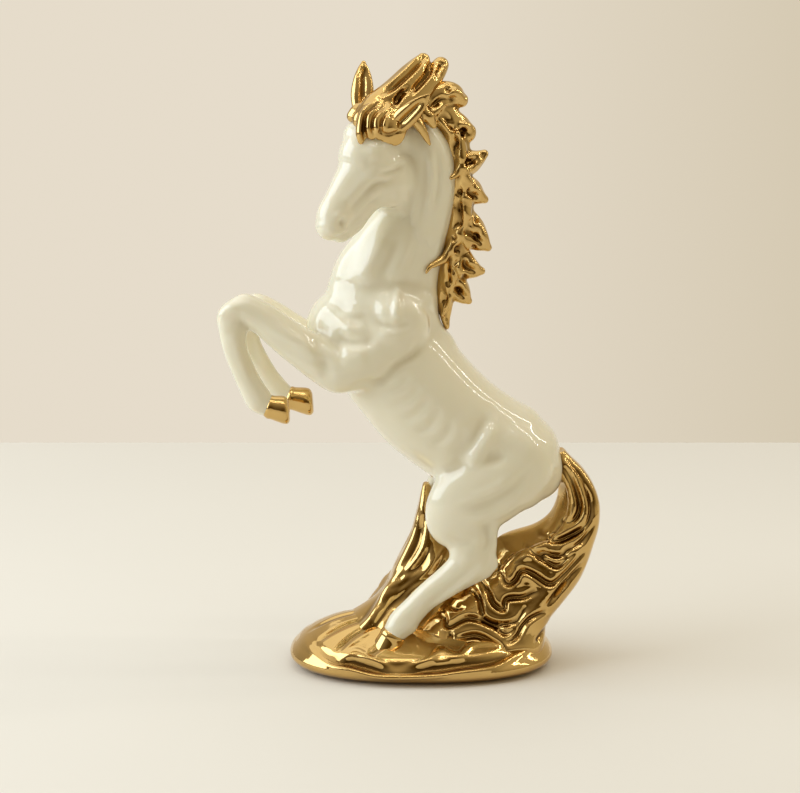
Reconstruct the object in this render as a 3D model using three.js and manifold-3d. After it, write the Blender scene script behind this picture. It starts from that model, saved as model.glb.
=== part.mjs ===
// Rearing horse figurine in slip-cast porcelain: white glazed horse, gold lustre mane, tail, hooves and base.
// Millimetres, +Z up. The horse faces -X, its left side is -Y, and the origin lies under the figure's middle.
import * as THREE from "three";
import { mergeVertices } from "three/addons/utils/BufferGeometryUtils.js";
import Module from "manifold-3d";

const wasm = await Module();
wasm.setup();

// Driving dimensions.
const HEIGHT = 380; // of the whole figure
const SEAM = 0.3; // slip seam left between two cast pieces
const WALL = 5; // wall of the hollow castings
const TAIL_WALL = 10; // the tail is cast thicker, because its grooves and its scoop eat into it
const GROOVE_RADIUS = 3; // grooves between the strands of the tail and of the plume
const SEAT = 2.5; // how deep a limb is let into the wall of the torso
const PAD_RADIUS = 6; // felt pads under the base
const PAD_THICKNESS = 1.2;
const PAD_INSET = 8; // from the rim of the base to the middle of a pad
const SOCKET_WALL = 4; // wall left round the sockets of the hind hooves
const PLATE_THICKNESS = 3; // slab that closes the base from below
const VENT_RADIUS = 6; // hole in that slab for the kiln gases
const DRAIN_RADIUS = 9; // passage between the hollow neck and the hollow torso
const HOOF_LENGTH = 13;
const HOOF_FLARE = 1.9; // how far the sole stands out past the pastern
const HOOF_RIM = 0.5; // how far the coronet stands out past the pastern
const HEAD_TURN = 34; // degrees by which the head looks to the horse's left
const EAR_LENGTH = 31;
const EAR_WIDTH = 7; // half the width of an ear at its widest
const OFFSET_X = -1.8; // brings the middle of the whole figure over the origin

// The right foreleg hangs lower than the left one and is folded further: [back, down] at each of its joints.
const ELBOW_DROP = [0, 4];
const KNEE_DROP = [4, 7];
const FETLOCK_DROP = [10.5, 3];

const DRAWN_HEIGHT = 380; // height of the figure as its stations are drawn

// Stations along a limb are [x, y, z, half depth, half width], in the order in which the limb runs.
const BARREL = [
  [-38, 0, 207, 23, 23],
  [-22, 0, 202, 33, 30],
  [-4.4, 0, 186.6, 35, 33.5],
  [12.6, 0, 166.6, 35.6, 34],
  [31, 0, 150.2, 34.7, 33],
  [50, 0, 136.4, 34.6, 33.5],
  [66, 0, 127, 33, 32],
  [75, 0, 124, 22.5, 26],
];
const NECK = [
  [-9, 0, 208, 31, 27],
  [-14.8, 0, 225, 34.8, 27.5],
  [-13.7, 0, 240, 33.7, 25.5],
  [-8.6, -1, 254, 30.1, 23],
  [-2, -2.5, 268, 26.5, 20.5],
  [4.5, -4.5, 281, 23.5, 18.5],
  [9.5, -6.5, 294, 20.5, 17.5],
  [12, -8, 307, 18, 16.5],
  [11, -9, 319, 16.5, 16],
  [4, -9.5, 331, 15, 15],
];
// The head and the ears are drawn looking straight ahead about the crown, then turned.
const CROWN = [-12, -18, 340];
const SKULL = [
  [-6, 0, -7, 17.5, 14],
  [-11.2, 0, -20.8, 21, 17],
  [-16.8, 0, -32.4, 18.8, 16],
  [-25, 0, -40.4, 15, 12.6],
  [-32, 0, -48, 12.7, 10.8],
  [-38.2, 0, -55, 11.2, 10.6],
  [-40.8, 0, -59.8, 9.2, 10.6],
];
const JAW = [
  [-34, 0, -64, 6.8, 7.6],
  [-26.5, 0, -57.5, 8.6, 8.4],
  [-22.5, 0, -51.5, 9.5, 9],
  [-15, 0, -43, 11, 10.5],
];
const EAR_ROOTS = { left: [-7, -14.5, -4], right: [-9.8, 13.5, 6] };
const EAR_AIMS = { left: [15.6, -17.2, 21.7], right: [6, 7, 26] };
// An ear is [share of its length, share of its width in depth, and in breadth].
const EAR_TAPER = [
  [0, 0.8, 0.6],
  [0.3, 1, 0.62],
  [0.6, 0.84, 0.54],
  [0.82, 0.52, 0.38],
  [0.95, 0.22, 0.2],
];
// The forelock, on the head too: strands of [x, y, z, radius]. Fingers sweep back over the crown, and
// a fringe falls over the brow.
const SWEPT_BACK = [
  [[-18, -1, 2, 7], [-10, -2, 8, 9], [4, -3, 16, 10], [15, -3, 26, 8.5], [23.4, -3, 35.8, 4.2]],
  [[-6, -8, 4, 8], [8, -8, 11, 8.5], [20, -8.5, 20, 7.4], [32.5, -8, 32.5, 5.2]],
  [[-12, 4, 6, 7], [-2, 5, 11, 8], [8, 5, 16, 7], [16, 5, 20, 5]],
  [[-10, 3, 7, 5.5], [-17, 5, 6.4, 5], [-20.5, 6, 3.6, 4.2]],
];
const FRINGE = [
  [[-12, -6, 8, 5.5], [-20, -7.4, 4.6, 5], [-24, -8.4, -4, 3.9], [-24.6, -8.6, -12.6, 1.2]],
  [[-10, -8, 8, 5.5], [-16.6, -11, 4, 5], [-19.6, -12.2, -2, 4.4], [-19.8, -12.4, -6.4, 3]],
  [[-7, -10, 7, 5.5], [-12, -14, 3, 5], [-15, -15.2, -2, 4.6], [-15.4, -15.4, -6.6, 3.4]],
  [[-3, -10, 6, 5.5], [-7.4, -15, 1, 5.2], [-10, -16.6, -4.6, 5], [-10.6, -16.4, -9, 3.6]],
  [[0, -10, 3, 5.5], [-2, -15.6, -2, 4.8], [-4.4, -16.8, -6, 4.8], [-5.4, -16.6, -9.4, 3.6]],
];
// Left limbs. The right ones mirror them, apart from the right foreleg, which is folded a little further.
const UPPER_ARM = [
  [-4, -22, 214, 17, 13],
  [-22, -25, 199, 17, 14],
  [-40, -27, 189, 13.5, 12.5],
];
const FOREARM = [
  [-41, -27, 189, 14, 12.5],
  [-56, -26.5, 199, 13, 12],
  [-74, -25.5, 211.5, 11.3, 10.5],
  [-87.5, -24.5, 221.8, 10, 9.6],
  [-98.5, -24, 227.5, 9.8, 9.5],
];
const FORE_CANNON = [
  [-106, -24, 219, 9.4, 9.4],
  [-105, -24, 206, 7.8, 7.7],
  [-101.5, -23.5, 195, 7.5, 7.3],
  [-96, -23, 182, 7.7, 7.4],
  [-90.5, -22.5, 172, 8.4, 7.9],
  [-85, -22, 167.5, 6.6, 6.6],
];
const THIGH = [
  [70, -17, 135, 25, 16],
  [56, -20.5, 121, 27.5, 16.5],
  [41, -22, 108, 28.5, 15.5],
  [37, -23, 97, 26, 13.5],
  [39, -25, 83, 16, 10.5],
  [40, -27, 73, 14, 9],
];
const HIND_CANNON = [
  [42, -27, 73, 14.5, 9],
  [28.5, -29, 62.5, 10.5, 8],
  [13, -30.5, 51.5, 8.4, 7.3],
  [3.5, -31, 42, 8.3, 7.4],
  [-3.5, -31.5, 34, 9, 8.2],
  [-8.6, -32, 27, 7.4, 7.4],
];
const FORE_HOOF_AIM = [12.2, 0, -2.6];
const HIND_HOOF_AIM = [-7, 0, -14];
// Round masses are [x, y, z, radius along x, y and z, tilt in degrees].
const CHEST = [-37.5, 0, 214, 24.5, 27, 23, 0];
const SHOULDER = [-7, -22, 219, 21, 13.5, 18, 20];
const BREAST = [-34, -17, 214, 17, 15, 14, 0];
const WITHERS = [15, 0, 205, 17, 13, 11, 30];
const CROUP = [71.5, 0, 134.5, 22, 30, 22, 0];
const KNEE = [-104.5, -24, 225.6, 13, 9.3, 8, -36];
const FETLOCK = [-91, -22.5, 171, 8.6, 8, 7.4, 30];
const BUTTOCK = [72, -14, 113, 12, 14, 12, 0];
// On the head: throat, muzzle, poll and forehead, then the cheek, the brow and the nostril of its left side.
const HEAD_MIDDLE = [
  [-1, 0, -33, 20, 13, 18.5, 0],
  [-39.5, 0, -59, 9.5, 11, 8.5, 0],
  [2, 0, -10, 17, 14, 15, 0],
  [-18, 4, -9, 10, 9, 10, 0],
];
const HEAD_SIDE = [
  [-2, -6.5, -34, 18, 10, 17.5, 0],
  [-15, -11.4, -18, 10, 6.4, 8.6, 0],
  [-39.5, -6.5, -56, 5.5, 4.6, 6, 0],
];
// Levels of an upright wall are [z, lowest x, highest x, half thickness, middle y].
const BASE = [
  [PAD_THICKNESS, -67, 84, 51, 0],
  [4, -72, 89, 55, 0],
  [8, -74, 91, 57, 0],
  [12, -72, 89, 53.2, 0],
  [15.6, -68, 85, 49, 0],
  [17.4, -65, 82, 43, 0],
  [22, -57, 74, 30, 0],
  [26, -46, 62, 18, 0],
  [28.5, -34, 50, 8, 0],
];
const PLUME = [
  [8, -44, 40, 30, 2],
  [20, -34, 36, 27, 2],
  [30, -23, 32, 22, 3],
  [40, -15.5, 31, 18, 4],
  [52, -11.5, 31, 15, 5],
  [62, -8, 31, 13.5, 6],
  [72, -2, 29, 12, 7],
  [82, 3, 26, 10, 8],
  [92, 5.5, 22, 8, 9],
  [102, 7.5, 18, 6, 10],
  [112, 10, 14, 3, 11],
];
const TAIL = [
  [7, -22, 84, 43, 0],
  [16, -14, 86, 38, 0],
  [24, -2, 86.5, 33.5, 0],
  [32, 10, 90, 30, 0],
  [42, 24, 98, 27, 0],
  [55, 38, 107.5, 24, 0],
  [68, 48, 113, 22, 0],
  [79, 58, 116.5, 19.5, 0],
  [86, 78, 118.5, 17.5, 0],
  [94, 88, 119.5, 16, 0],
  [104, 92, 119, 14.5, 0],
  [114, 92, 114.5, 13, 0],
  [124, 88, 107.5, 11, 0],
  [132, 84, 99.5, 8, 0],
  [136, 82, 96.5, 6, 0],
];
// Grooves between the strands of hair on both faces of the tail and of the plume, as [x, z].
const TAIL_GROOVES = [
  [[98, 133], [109, 120], [113, 110], [116, 100]],
  [[104, 123], [110, 113], [111, 95], [104, 87], [86, 82]],
  [[115, 93], [108, 82], [99, 77], [93, 73], [77, 76]],
  [[56, 65], [61, 56], [70, 64], [77, 62], [88, 56], [98, 63], [109, 76]],
  [[37, 55], [44, 57], [53, 44], [59, 41], [61, 47], [78, 51]],
  [[29, 45], [39, 51], [44, 46], [47, 36], [57, 32], [67, 34], [72, 41]],
  [[10, 29], [18, 36], [25, 31], [38, 36], [53, 31], [61, 27], [69, 32]],
  [[61, 22], [67, 25], [73, 33], [87, 39]],
  [[31, 14], [36, 17], [45, 18], [53, 15], [71, 16]],
  [[85, 41], [91, 49], [98, 57], [109, 68]],
];
const PLUME_GROOVES = [
  [[12, 98], [9, 80], [-1, 60], [-13, 42]],
  [[15, 88], [14, 72], [4, 57], [-9, 44], [-22, 30]],
  [[20, 84], [21, 68], [8, 51], [-8, 37], [-20, 24]],
];
// The near edge of the tail's inner slope is scooped away, by a round form through these stations.
const TAIL_SCOOP = [
  [20, -26, 73, 34, 34],
  [30, -26, 86, 34, 34],
  [42, -25, 97, 34, 34],
  [60, -24, 104.4, 33, 33],
  [70, -22, 112.4, 32, 32],
  [76, -20, 124, 31, 31],
];
// Which stations and levels have a hollow inside: from the first of the pair up to, not with, the second.
const NECK_HOLLOW = [2, 8];
const TAIL_HOLLOW = [0, 6];
const BASE_HOLLOW = [3, 7];
// Below 1 the level sections of a wall fill out towards a rounded oblong.
const ROUND_WALL = 0.85;
const SQUARE_WALL = 0.6;
// The crest of the mane runs down the back of the neck.
const CREST = [
  [-8, -19, 345, 9, 8],
  [8, -13, 347, 10, 8.5],
  [21, -8, 341, 11, 8],
  [29, -7, 324, 8.5, 8],
  [31, -6, 304, 7.5, 8],
  [32, -5, 284, 8, 8],
  [29, -3, 265, 8.5, 8],
  [26, -1, 248, 8.5, 7.5],
  [24, 0, 232, 7, 6.5],
  [24, 0, 218, 4, 4.5],
];
// Flame-shaped lobes that stand off the crest, as stations.
const LOBES = [
  [[8, -12, 348, 8, 7], [18, -10, 354, 9, 7.5], [26, -9, 355, 7.8, 6.6], [31.5, -8, 352, 4.8, 5]],
  [[22, -8, 337, 12, 7], [30, -7, 334.4, 9.6, 7], [36, -7, 331.8, 6.2, 5]],
  [[31, -7, 314, 10, 7], [37.6, -7, 315.2, 8, 6.6], [42.5, -7, 317.4, 5, 5], [45.8, -7, 319.6, 2.9, 3.4]],
  [[32, -6, 299, 10, 7], [38, -6, 296.6, 8.4, 6.6], [43, -6, 293.6, 5.2, 5], [46.4, -6, 292, 2.6, 3]],
  [[32, -5, 276, 12.5, 7.5], [38.6, -5, 271, 10.5, 7], [44.5, -5, 266, 6.4, 6], [48.4, -5, 263, 2.8, 3.4]],
  [[31, -3, 253, 10, 7], [37, -3, 250, 7.6, 6.5], [41.6, -3, 248.4, 4.8, 5], [44.8, -3, 248, 2.6, 3]],
  [[27, -1, 240, 9, 6.5], [31.6, -1, 235, 7.4, 6], [35.2, -1, 231, 4.6, 4.5], [37.2, -1, 229.2, 2.4, 2.6]],
];
// The lathed outline of a hoof: [share of its length, share of the pastern, share of the flare].
const HOOF_OUTLINE = [
  [-0.15, 0.8, 0],
  [0, 1, HOOF_RIM / HOOF_FLARE],
  [0.86, 1, 1],
  [1, 1, 0.5],
];

// Mesh fineness: points round a section, and sections between two stations. Hidden hollows are coarse.
const FINE = { limb: 16, slim: 12, strand: 8, lock: 6, wall: 24, hoof: 12, steps: 1, dome: 3 };
const COARSE = { limb: 10, slim: 8, wall: 12, hoof: 8, steps: 1, dome: 2 };
const LOCK_STEPS = 2; // sections between two stations of a lock, a strand or a groove
const WELD = 1e-4; // points nearer than this are one point
const FLATNESS = 0.12; // a facet may move by this much when small ones are joined up

const V = (x, y, z) => new THREE.Vector3(x, y, z);

// A closed mesh as a solid that can be joined and cut.
function solidOf(geometry) {
  const bare = new THREE.BufferGeometry();
  bare.setAttribute("position", geometry.getAttribute("position"));
  bare.setIndex(geometry.index);
  const merged = mergeVertices(bare, WELD);
  return new wasm.Manifold(
    new wasm.Mesh({
      numProp: 3,
      vertProperties: new Float32Array(merged.attributes.position.array),
      triVerts: new Uint32Array(merged.index.array),
    }),
  );
}

function geometryOf(solid) {
  const mesh = solid.getMesh();
  const geometry = new THREE.BufferGeometry();
  geometry.setAttribute("position", new THREE.BufferAttribute(mesh.vertProperties, 3));
  geometry.setIndex(new THREE.BufferAttribute(mesh.triVerts, 1));
  const loose = geometry.toNonIndexed();
  loose.computeVertexNormals();
  return loose;
}

const join = (...solids) => solids.reduce((all, next) => all.add(next));
const cut = (solid, ...tools) => tools.reduce((left, tool) => left.subtract(tool), solid);

// The main body of a solid, without the crumbs that a cut leaves behind.
function mainBody(solid) {
  const bodies = solid.simplify(FLATNESS).decompose();
  return bodies.reduce((best, body) => (body.volume() > best.volume() ? body : best));
}

// Skins rings of equally many points, which turn anticlockwise about the way they run, and closes both ends.
function skin(rings, start, end) {
  const count = rings[0].length;
  const points = [...rings.flat(), start, end];
  const index = [];
  rings.forEach((ring, r) => {
    for (let i = 0; i < count; i += 1) {
      const a = r * count + i;
      const b = r * count + ((i + 1) % count);
      if (r === 0) index.push(points.length - 2, b, a);
      if (r === rings.length - 1) index.push(points.length - 1, a, b);
      else index.push(a, b, b + count, a, b + count, a + count);
    }
  });
  const geometry = new THREE.BufferGeometry().setFromPoints(points);
  geometry.setIndex(index);
  return geometry;
}

// An oval section, with its first half axis along `deep` and its second along `wide`.
function oval(middle, deep, wide, sides) {
  return Array.from({ length: sides }, (_, i) => {
    const angle = (2 * Math.PI * i) / sides;
    return middle.clone().addScaledVector(deep, Math.cos(angle)).addScaledVector(wide, Math.sin(angle));
  });
}

// A tapering limb with round ends through its stations. `grow` offsets its surface.
function limbGeometry(stations, grow, sides, mesh) {
  const path = new THREE.CatmullRomCurve3(stations.map(([x, y, z]) => V(x, y, z)));
  const sizes = new THREE.SplineCurve(stations.map((s) => new THREE.Vector2(s[3], s[4])));
  const spans = (stations.length - 1) * mesh.steps;
  const place = (t) => {
    const along = path.getTangent(t);
    const wide = V(0, 1, 0).addScaledVector(along, -along.y).normalize();
    const size = sizes.getPoint(t).addScalar(grow);
    return { middle: path.getPoint(t), along, deep: wide.clone().cross(along), wide, size };
  };
  const ring = (at, reach, share) =>
    oval(
      at.middle.clone().addScaledVector(at.along, reach),
      at.deep.clone().multiplyScalar(at.size.x * share),
      at.wide.clone().multiplyScalar(at.size.y * share),
      sides,
    );
  const bulge = (at) => Math.min(at.size.x, at.size.y);
  const dome = (at, way) =>
    Array.from({ length: mesh.dome - 1 }, (_, k) => {
      const angle = (Math.PI / 2) * ((k + 1) / mesh.dome);
      return ring(at, way * bulge(at) * Math.sin(angle), Math.cos(angle));
    });
  const first = place(0);
  const last = place(1);
  const shaft = Array.from({ length: spans + 1 }, (_, i) => ring(place(i / spans), 0, 1));
  return skin(
    [...dome(first, -1).reverse(), ...shaft, ...dome(last, 1)],
    first.middle.clone().addScaledVector(first.along, -bulge(first)),
    last.middle.clone().addScaledVector(last.along, bulge(last)),
  );
}

const limb = (...args) => solidOf(limbGeometry(...args));

// A round mass of muscle or bone.
function massGeometry([x, y, z, rx, ry, rz, tilt], grow, mesh) {
  const ball = new THREE.SphereGeometry(1, mesh.limb, mesh.limb / 2);
  ball.scale(rx + grow, ry + grow, rz + grow);
  ball.rotateY(THREE.MathUtils.degToRad(tilt));
  ball.translate(x, y, z);
  return ball;
}

const mass = (...args) => solidOf(massGeometry(...args));

// When a form is offset by `grow`, its first and its last section move outwards along it.
const endShift = (i, last, grow) => new Map([[0, -grow], [last, grow]]).get(i) ?? 0;

// An upright wall through level sections, each a rounded oblong. `grow` offsets its sides and its ends.
function wall(levels, square, grow, mesh) {
  const spans = (levels.length - 1) * mesh.steps;
  const reach = new THREE.CatmullRomCurve3(levels.map(([z, low, high]) => V(low, high, z)));
  const breadth = new THREE.SplineCurve(levels.map((level) => new THREE.Vector2(level[3], level[4])));
  const filled = (value) => Math.sign(value) * Math.abs(value) ** square;
  const rings = Array.from({ length: spans + 1 }, (_, i) => {
    const { x: low, y: high, z } = reach.getPoint(i / spans);
    const { x: half, y: middle } = breadth.getPoint(i / spans);
    return Array.from({ length: mesh.wall }, (__, k) => {
      const angle = (2 * Math.PI * k) / mesh.wall;
      return V(
        (low + high) / 2 + ((high - low) / 2 + grow) * filled(Math.cos(angle)),
        middle + (half + grow) * filled(Math.sin(angle)),
        z + endShift(i, spans, grow),
      );
    });
  });
  const centre = (ring) => ring.reduce((sum, p) => sum.add(p), V(0, 0, 0)).divideScalar(ring.length);
  return solidOf(skin(rings, centre(rings[0]), centre(rings.at(-1))));
}

// A lobe of the mane, or a strand of hair.
const lobe = (stations, grow, mesh) => limb(stations, grow, mesh.lock, { ...mesh, steps: LOCK_STEPS });
const roundStations = (strand) => strand.map(([x, y, z, radius]) => [x, y, z, radius, radius]);

// The section of a wall at a height, between the levels next to it.
function levelAt(levels, z) {
  const above = Math.max(1, levels.findIndex((level) => level[0] >= z));
  const [low, high] = [levels[above - 1], levels[above]];
  const share = THREE.MathUtils.clamp((z - low[0]) / (high[0] - low[0]), 0, 1);
  return low.map((value, i) => THREE.MathUtils.lerp(value, high[i], share));
}

// Grooves along [x, z] lines on the near and on the far face of a wall.
function grooves(lines, levels, square) {
  const onFace = (side, [x, z]) => {
    const [, low, high, half, middle] = levelAt(levels, z);
    const across = Math.min(1, Math.abs((2 * x - low - high) / (high - low)));
    const reach = half * (1 - across ** (2 / square)) ** (square / 2);
    return [x, middle + side * reach, z, GROOVE_RADIUS];
  };
  return [-1, 1].flatMap((side) =>
    lines.map((line) => lobe(roundStations(line.map((point) => onFace(side, point))), 0, FINE)),
  );
}

const mirroredMass = ([x, y, ...rest]) => [x, -y, ...rest];
const mirrored = (stations) => stations.map(mirroredMass);

// The full forms, before their sockets and hollows are cut. `grow` offsets each one for a seam or a wall.
const torsoForm = (grow = 0, mesh = FINE) =>
  join(
    limb(BARREL, grow, mesh.limb, mesh),
    ...[CHEST, CROUP, WITHERS, SHOULDER, BREAST].map((m) => mass(m, grow, mesh)),
    ...[SHOULDER, BREAST].map((m) => mass(mirroredMass(m), grow, mesh)),
  );
const neckForm = (grow = 0, mesh = FINE) => limb(NECK, grow, mesh.limb, mesh);

const headPlace = new THREE.Matrix4()
  .makeTranslation(...CROWN)
  .multiply(new THREE.Matrix4().makeRotationZ(THREE.MathUtils.degToRad(HEAD_TURN)));
const onHead = (geometry) => solidOf(geometry.applyMatrix4(headPlace));
const headForm = (grow = 0, mesh = FINE) =>
  join(
    ...[SKULL, JAW].map((stations) => onHead(limbGeometry(stations, grow, mesh.limb, mesh))),
    ...[...HEAD_MIDDLE, ...HEAD_SIDE, ...mirrored(HEAD_SIDE)].map((m) => onHead(massGeometry(m, grow, mesh))),
  );

function earForm(side, grow = 0, mesh = FINE) {
  const root = V(...EAR_ROOTS[side]);
  const aim = V(...EAR_AIMS[side]).normalize();
  const stations = EAR_TAPER.map(([share, deep, wide]) => {
    const p = root.clone().addScaledVector(aim, EAR_LENGTH * share);
    return [p.x, p.y, p.z, EAR_WIDTH * deep, EAR_WIDTH * wide];
  });
  return onHead(limbGeometry(stations, grow, mesh.slim, mesh));
}

// The right limb for a left one, moved [back, down] by `upper` at its first row and by `lower` at its last.
function lowered(rows, upper, lower) {
  return mirrored(rows).map(([x, y, z, ...sizes], i) => {
    const share = i / (rows.length - 1);
    const [back, down] = upper.map((shift, k) => THREE.MathUtils.lerp(shift, lower[k], share));
    return [x + back, y, z - down, ...sizes];
  });
}
const foreStations = {
  left: { arm: UPPER_ARM, forearm: FOREARM, cannon: FORE_CANNON, joints: [KNEE, FETLOCK] },
  right: {
    arm: mirrored(UPPER_ARM),
    forearm: lowered(FOREARM, ELBOW_DROP, KNEE_DROP),
    cannon: lowered(FORE_CANNON, KNEE_DROP, FETLOCK_DROP),
    joints: lowered([KNEE, FETLOCK], KNEE_DROP, FETLOCK_DROP),
  },
};
const hindStations = {
  left: { thigh: THIGH, cannon: HIND_CANNON, buttock: BUTTOCK },
  right: { thigh: mirrored(THIGH), cannon: mirrored(HIND_CANNON), buttock: mirroredMass(BUTTOCK) },
};
const forelegForm = (side, grow = 0, mesh = FINE) =>
  join(
    limb(foreStations[side].arm, grow, mesh.limb, mesh),
    limb(foreStations[side].forearm, grow, mesh.slim, mesh),
    limb(foreStations[side].cannon, grow, mesh.slim, mesh),
    ...foreStations[side].joints.map((m) => mass(m, grow, mesh)),
  );
const hindlegForm = (side, grow = 0, mesh = FINE) =>
  join(
    limb(hindStations[side].thigh, grow, mesh.limb, mesh),
    limb(hindStations[side].cannon, grow, mesh.slim, mesh),
    mass(hindStations[side].buttock, grow, mesh),
  );

// A hoof carries on from the last station of its cannon, flaring to a flat sole.
function hoofForm(cannon, aim, grow, mesh) {
  const [x, y, z, deep, wide] = cannon.at(-1);
  const pastern = Math.max(deep, wide);
  const last = HOOF_OUTLINE.length - 1;
  const outline = HOOF_OUTLINE.map(([along, share, flare], i) => {
    const radius = pastern * share + HOOF_FLARE * flare + grow;
    return new THREE.Vector2(radius, HOOF_LENGTH * along + endShift(i, last, grow));
  });
  const closed = [new THREE.Vector2(0, outline[0].y), ...outline, new THREE.Vector2(0, outline.at(-1).y)];
  const hoof = new THREE.LatheGeometry(closed, mesh.hoof);
  hoof.applyQuaternion(new THREE.Quaternion().setFromUnitVectors(V(0, 1, 0), V(...aim).normalize()));
  hoof.translate(x, y, z);
  return solidOf(hoof);
}
const foreHoofForm = (side, grow = 0, mesh = FINE) =>
  hoofForm(foreStations[side].cannon, FORE_HOOF_AIM, grow, mesh);
const hindHoofForm = (side, grow = 0, mesh = FINE) =>
  hoofForm(hindStations[side].cannon, HIND_HOOF_AIM, grow, mesh);

const forelockForm = (grow = 0, mesh = FINE) => {
  const strandMesh = { ...mesh, steps: LOCK_STEPS };
  const strand = (rows) => onHead(limbGeometry(roundStations(rows), grow, mesh.strand, strandMesh));
  return join(...[...SWEPT_BACK, ...FRINGE].map(strand));
};
const maneForm = (grow = 0, mesh = FINE) =>
  join(limb(CREST, grow, mesh.slim, mesh), ...LOBES.map((stations) => lobe(stations, grow, mesh)));
const baseForm = (grow = 0, mesh = FINE) => wall(BASE, ROUND_WALL, grow, mesh);
const plumeForm = (grow = 0, mesh = FINE) => wall(PLUME, ROUND_WALL, grow, mesh);
const tailForm = (grow = 0, mesh = FINE) => wall(TAIL, SQUARE_WALL, grow, mesh);

const SIDE_NAMES = ["left", "right"];
const both = (form, ...args) => SIDE_NAMES.map((side) => form(side, ...args));

// The passage along the foot of the neck that joins the two hollows, from the middle of the barrel upwards.
function drain() {
  const [foot, , third] = NECK;
  const [, , middle] = BARREL;
  const length = third[2] - middle[2];
  const pipe = new THREE.CylinderGeometry(DRAIN_RADIUS, DRAIN_RADIUS, length, FINE.slim);
  pipe.rotateX(Math.PI / 2);
  pipe.translate(foot[0], 0, middle[2] + length / 2);
  return solidOf(pipe);
}

// Limbs stop at the seats that are sunk into the barrel of the torso.
const barrelForm = (grow, mesh = FINE) => limb(BARREL, grow, mesh.limb, mesh);
const neckFoot = (grow = 0) => cut(neckForm(grow), barrelForm(-SEAT - grow));
const forelegFoot = (side, grow = 0) => cut(forelegForm(side, grow), barrelForm(-SEAT - grow));
const hindlegFoot = (side, grow = 0) => cut(hindlegForm(side, grow), barrelForm(-SEAT - grow));

// The hollow torso, with seats for the neck and the legs and a drain into the neck.
function torsoPiece() {
  const seats = [neckFoot(SEAM), ...both(forelegFoot, SEAM), ...both(hindlegFoot, SEAM)];
  return mainBody(cut(torsoForm(), ...seats, barrelForm(-WALL, COARSE), drain()));
}

// The hollow neck, open into the torso below.
function neckPiece() {
  const hollow = limb(NECK.slice(...NECK_HOLLOW), -WALL, COARSE.limb, COARSE);
  return mainBody(cut(neckFoot(), headForm(SEAM), hollow, drain()));
}

// A level section drawn in by the thickness of a wall.
const inset = ([z, low, high, half, middle], by) => [z, low + by, high - by, half - by, middle];

// The base is cast open below, with a straight mouth for its slab and sockets for the hind hooves.
function basePiece() {
  const [foot, ...mouth] = inset(BASE[0], WALL);
  const mound = BASE.slice(...BASE_HOLLOW).map((level) => inset(level, WALL));
  const hollow = [
    [foot - WALL, ...mouth],
    [foot + PLATE_THICKNESS, ...mouth],
    ...mound.map(([z, ...section]) => [z - WALL, ...section]),
  ];
  const inside = cut(wall(hollow, ROUND_WALL, 0, COARSE), ...both(hindHoofForm, SOCKET_WALL, COARSE));
  return mainBody(cut(baseForm(), ...both(hindHoofForm, SEAM), mainBody(inside)));
}

// The slab that closes the base, with its vent.
function platePiece() {
  const low = inset(BASE[0], WALL + SEAM);
  const high = [low[0] + PLATE_THICKNESS, ...low.slice(1)];
  const vent = new THREE.CylinderGeometry(VENT_RADIUS, VENT_RADIUS, high[0] * 2, FINE.hoof);
  vent.rotateX(Math.PI / 2);
  vent.translate((low[1] + low[2]) / 2, 0, high[0]);
  return mainBody(cut(wall([low, high], ROUND_WALL, 0, COARSE), solidOf(vent)));
}

// The tail is grooved, scooped out on the near side of its slope, hollow and cast open below.
function tailPiece() {
  const levels = TAIL.slice(...TAIL_HOLLOW).map((level) => inset(level, TAIL_WALL));
  const inside = wall(levels, ROUND_WALL, 0, COARSE);
  const neighbours = [baseForm(SEAM), torsoForm(SEAM), plumeForm(SEAM)];
  const legs = [...both(hindlegForm, SEAM), ...both(hindHoofForm, SEAM)];
  const room = cut(inside, plumeForm(WALL, COARSE), ...both(hindlegForm, WALL, COARSE));
  const scoop = limb(TAIL_SCOOP, 0, FINE.limb, FINE);
  const hair = cut(tailForm(), scoop, ...grooves(TAIL_GROOVES, TAIL, SQUARE_WALL));
  return mainBody(cut(hair, ...neighbours, ...legs, mainBody(room)));
}

const GLAZE = new THREE.MeshStandardMaterial({ color: 0xf1ede0, roughness: 0.12, metalness: 0 });
const GOLD = new THREE.MeshStandardMaterial({ color: 0xc8963c, roughness: 0.14, metalness: 1 });
const BISQUE = new THREE.MeshStandardMaterial({ color: 0xe3dccb, roughness: 0.8, metalness: 0 });
const FELT = new THREE.MeshStandardMaterial({ color: 0x2a2622, roughness: 1, metalness: 0 });

const horse = new THREE.Group();
horse.scale.setScalar(HEIGHT / DRAWN_HEIGHT);
horse.position.x = OFFSET_X * horse.scale.x;

function add(name, solid, material) {
  const mesh = new THREE.Mesh(geometryOf(solid), material);
  mesh.name = name;
  horse.add(mesh);
}

const seamed = (form, ...neighbours) => mainBody(cut(form, ...neighbours));

add("torso", torsoPiece(), GLAZE);
add("neck", neckPiece(), GLAZE);
add("head", mainBody(headForm()), GLAZE);
for (const side of SIDE_NAMES) {
  add(`${side}_foreleg`, seamed(forelegFoot(side), neckForm(SEAM)), GLAZE);
  add(`${side}_hind_leg`, mainBody(hindlegFoot(side)), GLAZE);
  add(`${side}_fore_hoof`, seamed(foreHoofForm(side), forelegForm(side, SEAM)), GOLD);
  add(`${side}_hind_hoof`, seamed(hindHoofForm(side), hindlegForm(side, SEAM)), GOLD);
  add(`${side}_ear`, seamed(earForm(side), headForm(SEAM)), GOLD);
}
const skull = [headForm(SEAM), neckForm(SEAM), ...both(earForm, SEAM)];
add("forelock", seamed(forelockForm(), ...skull), GOLD);
add("mane", seamed(maneForm(), ...skull, torsoForm(SEAM), forelockForm(SEAM)), GOLD);
const plumeNeighbours = [...both(hindlegForm, SEAM), ...both(hindHoofForm, SEAM)];
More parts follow.
